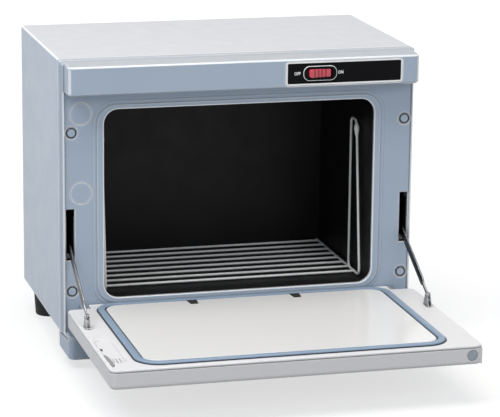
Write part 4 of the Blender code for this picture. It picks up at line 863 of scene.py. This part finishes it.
def make_rack_tip(side):
    """A drop whose widest place lies nearer to its upper end."""
    top = rack_floor + rack_rise - rack_bend / 2
    start = Vector((side * rack_half, inward(rack_front + rack_lean), top))
    lean = Vector((0.0, -rack_lean, -rack_rise)).normalized()
    skew, around = 0.7, 24
    profile = [(wire_radius, 0.0)]
    for step in range(1, round_steps):
        share = step / round_steps
        swell = (tip_radius - wire_radius) * sin(pi * share ** skew)
        profile.append((wire_radius + swell, tip_length * share))
    profile.append((wire_radius, tip_length))
    name = "rack_tip_left" if side < 0 else "rack_tip_right"
    return settle(skin(name, turned_loops(profile, start, lean, around)), "wire coating", "cabinet")


rack = [make_rack(), make_rack_tip(-1), make_rack_tip(1)]
print("rack pieces:", len(rack))

# %% [markdown]
# ## The stays
# Each stay is a punched steel strip: an eye on the door's pin, a narrow neck, a long blade, and a hook
# that catches behind a rest inside the cabinet. Seen from the front its flat side mirrors the dark room
# and its edges catch the lamps, and these reflections are painted into two finishes: dark on the sides,
# with drifting glints on the edges. The outline is drawn flat, pushed to its thickness, and its rims
# are rounded with a bevel.

# %% Stay blades
stay_slope = radians(28.419)
stay_half, stay_neck, hook_drop = 0.0055, 0.0022, 0.0060
stay_rear = corners_of("stay_left")[1].y - middle_of("stay_pin_left").y
stay_end = (stay_rear - (stay_half + hook_drop) * sin(stay_slope)) / cos(stay_slope)


def slab(name, outline_points, push, rim):
    """A plate from a flat outline, pushed to its thickness, with both its rims rounded."""
    made = bmesh.new()
    base = made.faces.new([made.verts.new(point) for point in outline_points])
    grown = bmesh.ops.extrude_face_region(made, geom=[base])
    moved = [part for part in grown["geom"] if isinstance(part, bmesh.types.BMVert)]
    bmesh.ops.translate(made, verts=moved, vec=push)
    bmesh.ops.recalc_face_normals(made, faces=made.faces)
    direction = Vector(push).normalized()
    caps = [face for face in made.faces if abs(face.normal.dot(direction)) > 0.99]
    rims = {edge for face in caps for edge in face.edges}
    bmesh.ops.bevel(made, geom=list(rims), offset=rim, segments=2, profile=0.5, affect="EDGES",
                    clamp_overlap=True)
    return as_piece(name, made, sharp=40.0)


def stay_outline(pin):
    """The strip's outline in the stay's own slope, from the eye round to the hook."""
    eye, steps = 0.0034, 2 * round_steps
    neck_end, flare, blade_start = 0.020, 0.023, 0.026
    hook_width, soft, top_corner = 0.0035, 0.0006, 0.0020
    spread = asin(stay_neck / eye)
    flat = []
    for step in range(steps + 1):
        angle = spread + (2 * pi - 2 * spread) * step / steps
        flat.append((eye * cos(angle), eye * sin(angle)))
    hook_start, hook_tip = stay_end - hook_width, -stay_half - hook_drop
    flat += [(neck_end, -stay_neck), (flare, -stay_half + soft), (blade_start, -stay_half),
             (hook_start, -stay_half), (hook_start, hook_tip + soft), (hook_start + soft, hook_tip),
             (stay_end - soft, hook_tip), (stay_end, hook_tip + soft),
             (stay_end, stay_half - top_corner), (stay_end - top_corner, stay_half),
             (blade_start, stay_half), (flare, stay_half - soft), (neck_end, stay_neck)]
    return [(pin.y + along * cos(stay_slope) - above * sin(stay_slope),
             pin.z + along * sin(stay_slope) + above * cos(stay_slope)) for along, above in flat]


def make_stay(side_name):
    """One stay on its own body, its flat sides darker than its edges."""
    node = "stay_" + side_name
    pin = middle_of("stay_pin_" + side_name)
    low, high = corners_of(node)
    rim = 0.0003
    points = [Vector((low.x, y, z)) for y, z in stay_outline(pin)]
    piece = slab("blade_" + side_name, points, Vector((high.x - low.x, 0.0, 0.0)), rim)
    settle(piece, "stay edge", node, node)
    # The flat sides take the finish with the dark reflection painted in.
    return second_finish(piece, "stay side", lambda face: abs(face.normal.x) > 0.98)


blades = [make_stay(side_name) for side_name in ("left", "right")]
print("stays:", len(blades), "each", round(stay_end, 4), "long")

# %% [markdown]
# ## Brackets and pins on the door
# A small channel is fixed to the door and its two ears hold the stay's pin. It is bent from sheet, so
# its parts have one thickness and rounded ears. The pin is riveted over at both ends into low domes.

# %% Brackets and their pins
def make_bracket(side_name):
    """Two rounded ears on a base plate, all of one thickness."""
    node = "stay_bracket_" + side_name
    low, high = corners_of(node)
    pin = middle_of("stay_pin_" + side_name)
    wall, ear, reach = 0.0011, 0.0036, (high.y - low.y) / 2
    toe, short, lift = 0.0006, 0.0002, 0.00005
    made = bmesh.new()
    outline_points = [(reach, 0.0), (reach, toe)]
    for step in range(round_steps + 1):
        angle = pi * step / round_steps
        outline_points.append((ear * cos(angle), pin.z - low.z + ear * sin(angle)))
    outline_points += [(-reach, toe), (-reach, 0.0)]
    for start in (low.x, high.x - wall):
        add_skin(made, [[Vector((start + offset, pin.y + y, low.z + z)) for y, z in outline_points]
                        for offset in (0.0, wall)])
    left, right = low.x + wall / 2, high.x - wall / 2
    front, rear = pin.y - reach + short, pin.y + reach - short
    base = [(left, front), (right, front), (right, rear), (left, rear)]
    add_skin(made, [[Vector((x, y, low.z + level)) for x, y in base] for level in (lift, wall)])
    piece = as_piece("bracket_" + side_name, made)
    return settle(piece, "bracket steel", "door", node)


def make_stay_pin(side_name):
    """A pin with a low dome riveted over at each end."""
    node = "stay_pin_" + side_name
    low, high = corners_of(node)
    head, shank, dome = (high.z - low.z) / 2, 0.0013, 0.0008
    length, around = high.x - low.x, 24
    profile = [(0.0003, 0.0), (head * 0.6, 0.0001), (head * 0.9, dome * 0.45), (head, dome * 0.8),
               (head, dome), (shank, dome)]
    profile += [(radius, length - along) for radius, along in reversed(profile)]
    start = Vector((low.x, middle_of(node).y, middle_of(node).z))
    piece = skin("rivet_" + side_name, turned_loops(profile, start, (1.0, 0.0, 0.0), around))
    return settle(piece, "bracket steel", "door", node)


fittings = [make(side_name) for side_name in ("left", "right")
            for make in (make_bracket, make_stay_pin)]
print("door fittings:", len(fittings))

# %% [markdown]
# ## The switch
# The rocker is a saddle of clear red plastic with fine ribs across its middle and narrower ends, and it
# leans towards one end when it rests. We skin it over sections from end to end: each section is a
# rounded oblong whose front follows the saddle, and the valleys between its ribs are painted a deeper
# red as shade. A thin pale line round the bezel is a painted highlight of its edge, and the two words
# that such a switch needs stand to its left and right as raised print.

# %% Rocker
def make_rocker():
    """Sections from end to end, leant with the rocker, ribbed in the middle and eased at the ends."""
    low, high = corners_of("power_rocker")
    lean, stations = radians(7.0), 40
    half, tall, edge = 0.0145, high.z - low.z, 0.0009
    end_rise, saddle_dip, end_round = 0.0034, 0.0012, 0.0010
    rib_rise, rib_turns, ribbed = 0.00045, 6 * pi, 0.7
    narrowing, narrow_run, shrink = 0.0012, 0.0030, 0.0008
    back, belly = 0.0030, 0.0044
    pivot = Vector((middle_of("switch_housing").x, low.y + half * sin(lean) + end_rise * cos(lean),
                    (low.z + high.z) / 2))
    loops = []
    for station in range(stations + 1):
        share = station / stations
        across = half * (2 * share - 1)
        close = min(share, 1 - share) * 2 * half
        ease = min(close / end_round, 1.0) ** 0.5
        taper = narrowing * (1 - min(close / narrow_run, 1.0))
        crown = end_rise - saddle_dip * (1 - (across / half) ** 2)
        rib = rib_rise * max(cos(across / half * rib_turns), 0.0)
        if abs(across) >= half * ribbed:
            rib = 0.0
        front_face = (crown + rib) * ease - end_round * (1 - ease)
        rear = -back - belly * (1 - abs(across) / half)
        height = tall / 2 - shrink * (1 - ease) - taper
        upper = [(front_face, height - edge), (front_face - edge * 0.3, height - edge * 0.3),
                 (front_face - edge, height), (rear, height)]
        section = upper + [(forward, -level) for forward, level in reversed(upper)]
        loops.append([Vector((pivot.x + across * cos(lean) + forward * sin(lean),
                              pivot.y + across * sin(lean) - forward * cos(lean), pivot.z + level))
                      for forward, level in section])
    piece = skin("rocker_lens", loops, sharp=50.0)
    settle(piece, "red lens", "rocker", "power_rocker")

    def in_valley(face):
        across = (face.center.x - pivot.x) / half
        return abs(across) < 0.75 and cos(across * rib_turns) < -0.2

    # The valleys between the ribs get the painted shade.
    return second_finish(piece, "red valley shade", in_valley)


rocker = make_rocker()
print("rocker faces:", len(rocker.data.polygons))


# %% Pale line round the bezel
def make_bezel_line():
    """A thin raised frame round the front of the switch housing, pale as a painted highlight of its
    edge.
    """
    low, high = corners_of("switch_housing")
    centre = (low + high) / 2
    width, height, corner, line = high.x - low.x, high.z - low.z, 0.0080, 0.0006
    proud, root = low.y + 0.0001, low.y + 0.0012
    sections = [(-0.0001, root), (-0.0001, proud + 0.0002), (0.0001, proud), (line - 0.0001, proud),
                (line, proud + 0.0002), (line, root)]
    loops = [[Vector((centre.x + x, y, centre.z + z)) for x, z in rounded(width, height, corner, inset)]
             for inset, y in sections]
    # The line is pale as a painted highlight of the bezel's edge.
    return settle(skin("bezel_line", loops, endless=True), "pale print and painted bezel highlight", "cabinet")


bezel_line = make_bezel_line()
print("bezel line faces:", len(bezel_line.data.polygons))


# %% The two words at the switch
def print_word(word, x_align, x, height):
    """A word in raised print on the control panel, its capitals this high."""
    capital_share, thickness, slimness = 0.72, 0.00006, 0.82
    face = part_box("control_panel")[0][1]
    letters = bpy.data.curves.new("word_" + word.lower(), "FONT")
    letters.body = word
    letters.size = height / capital_share
    letters.space_character = 1.06
    letters.align_x = x_align
    letters.align_y = "CENTER"
    letters.extrude = thickness
    letters.offset = 0.00014
    piece = bpy.data.objects.new("word_" + word.lower(), letters)
    piece.location = (x, face - thickness, middle_of("switch_housing").z)
    piece.rotation_euler = (pi / 2, 0.0, 0.0)
    piece.scale = (slimness, 1.0, 1.0)
    bpy.context.collection.objects.link(piece)
    return settle(piece, "pale print and painted bezel highlight", "cabinet")


bezel_low, bezel_high = corners_of("switch_housing")
letter_height, left_gap, right_gap = 0.0038, 0.0034, 0.0020
words = [print_word("OFF", "RIGHT", bezel_low.x - left_gap, letter_height),
         print_word("ON", "LEFT", bezel_high.x + right_gap, letter_height)]
print("words:", [word.data.body for word in words])
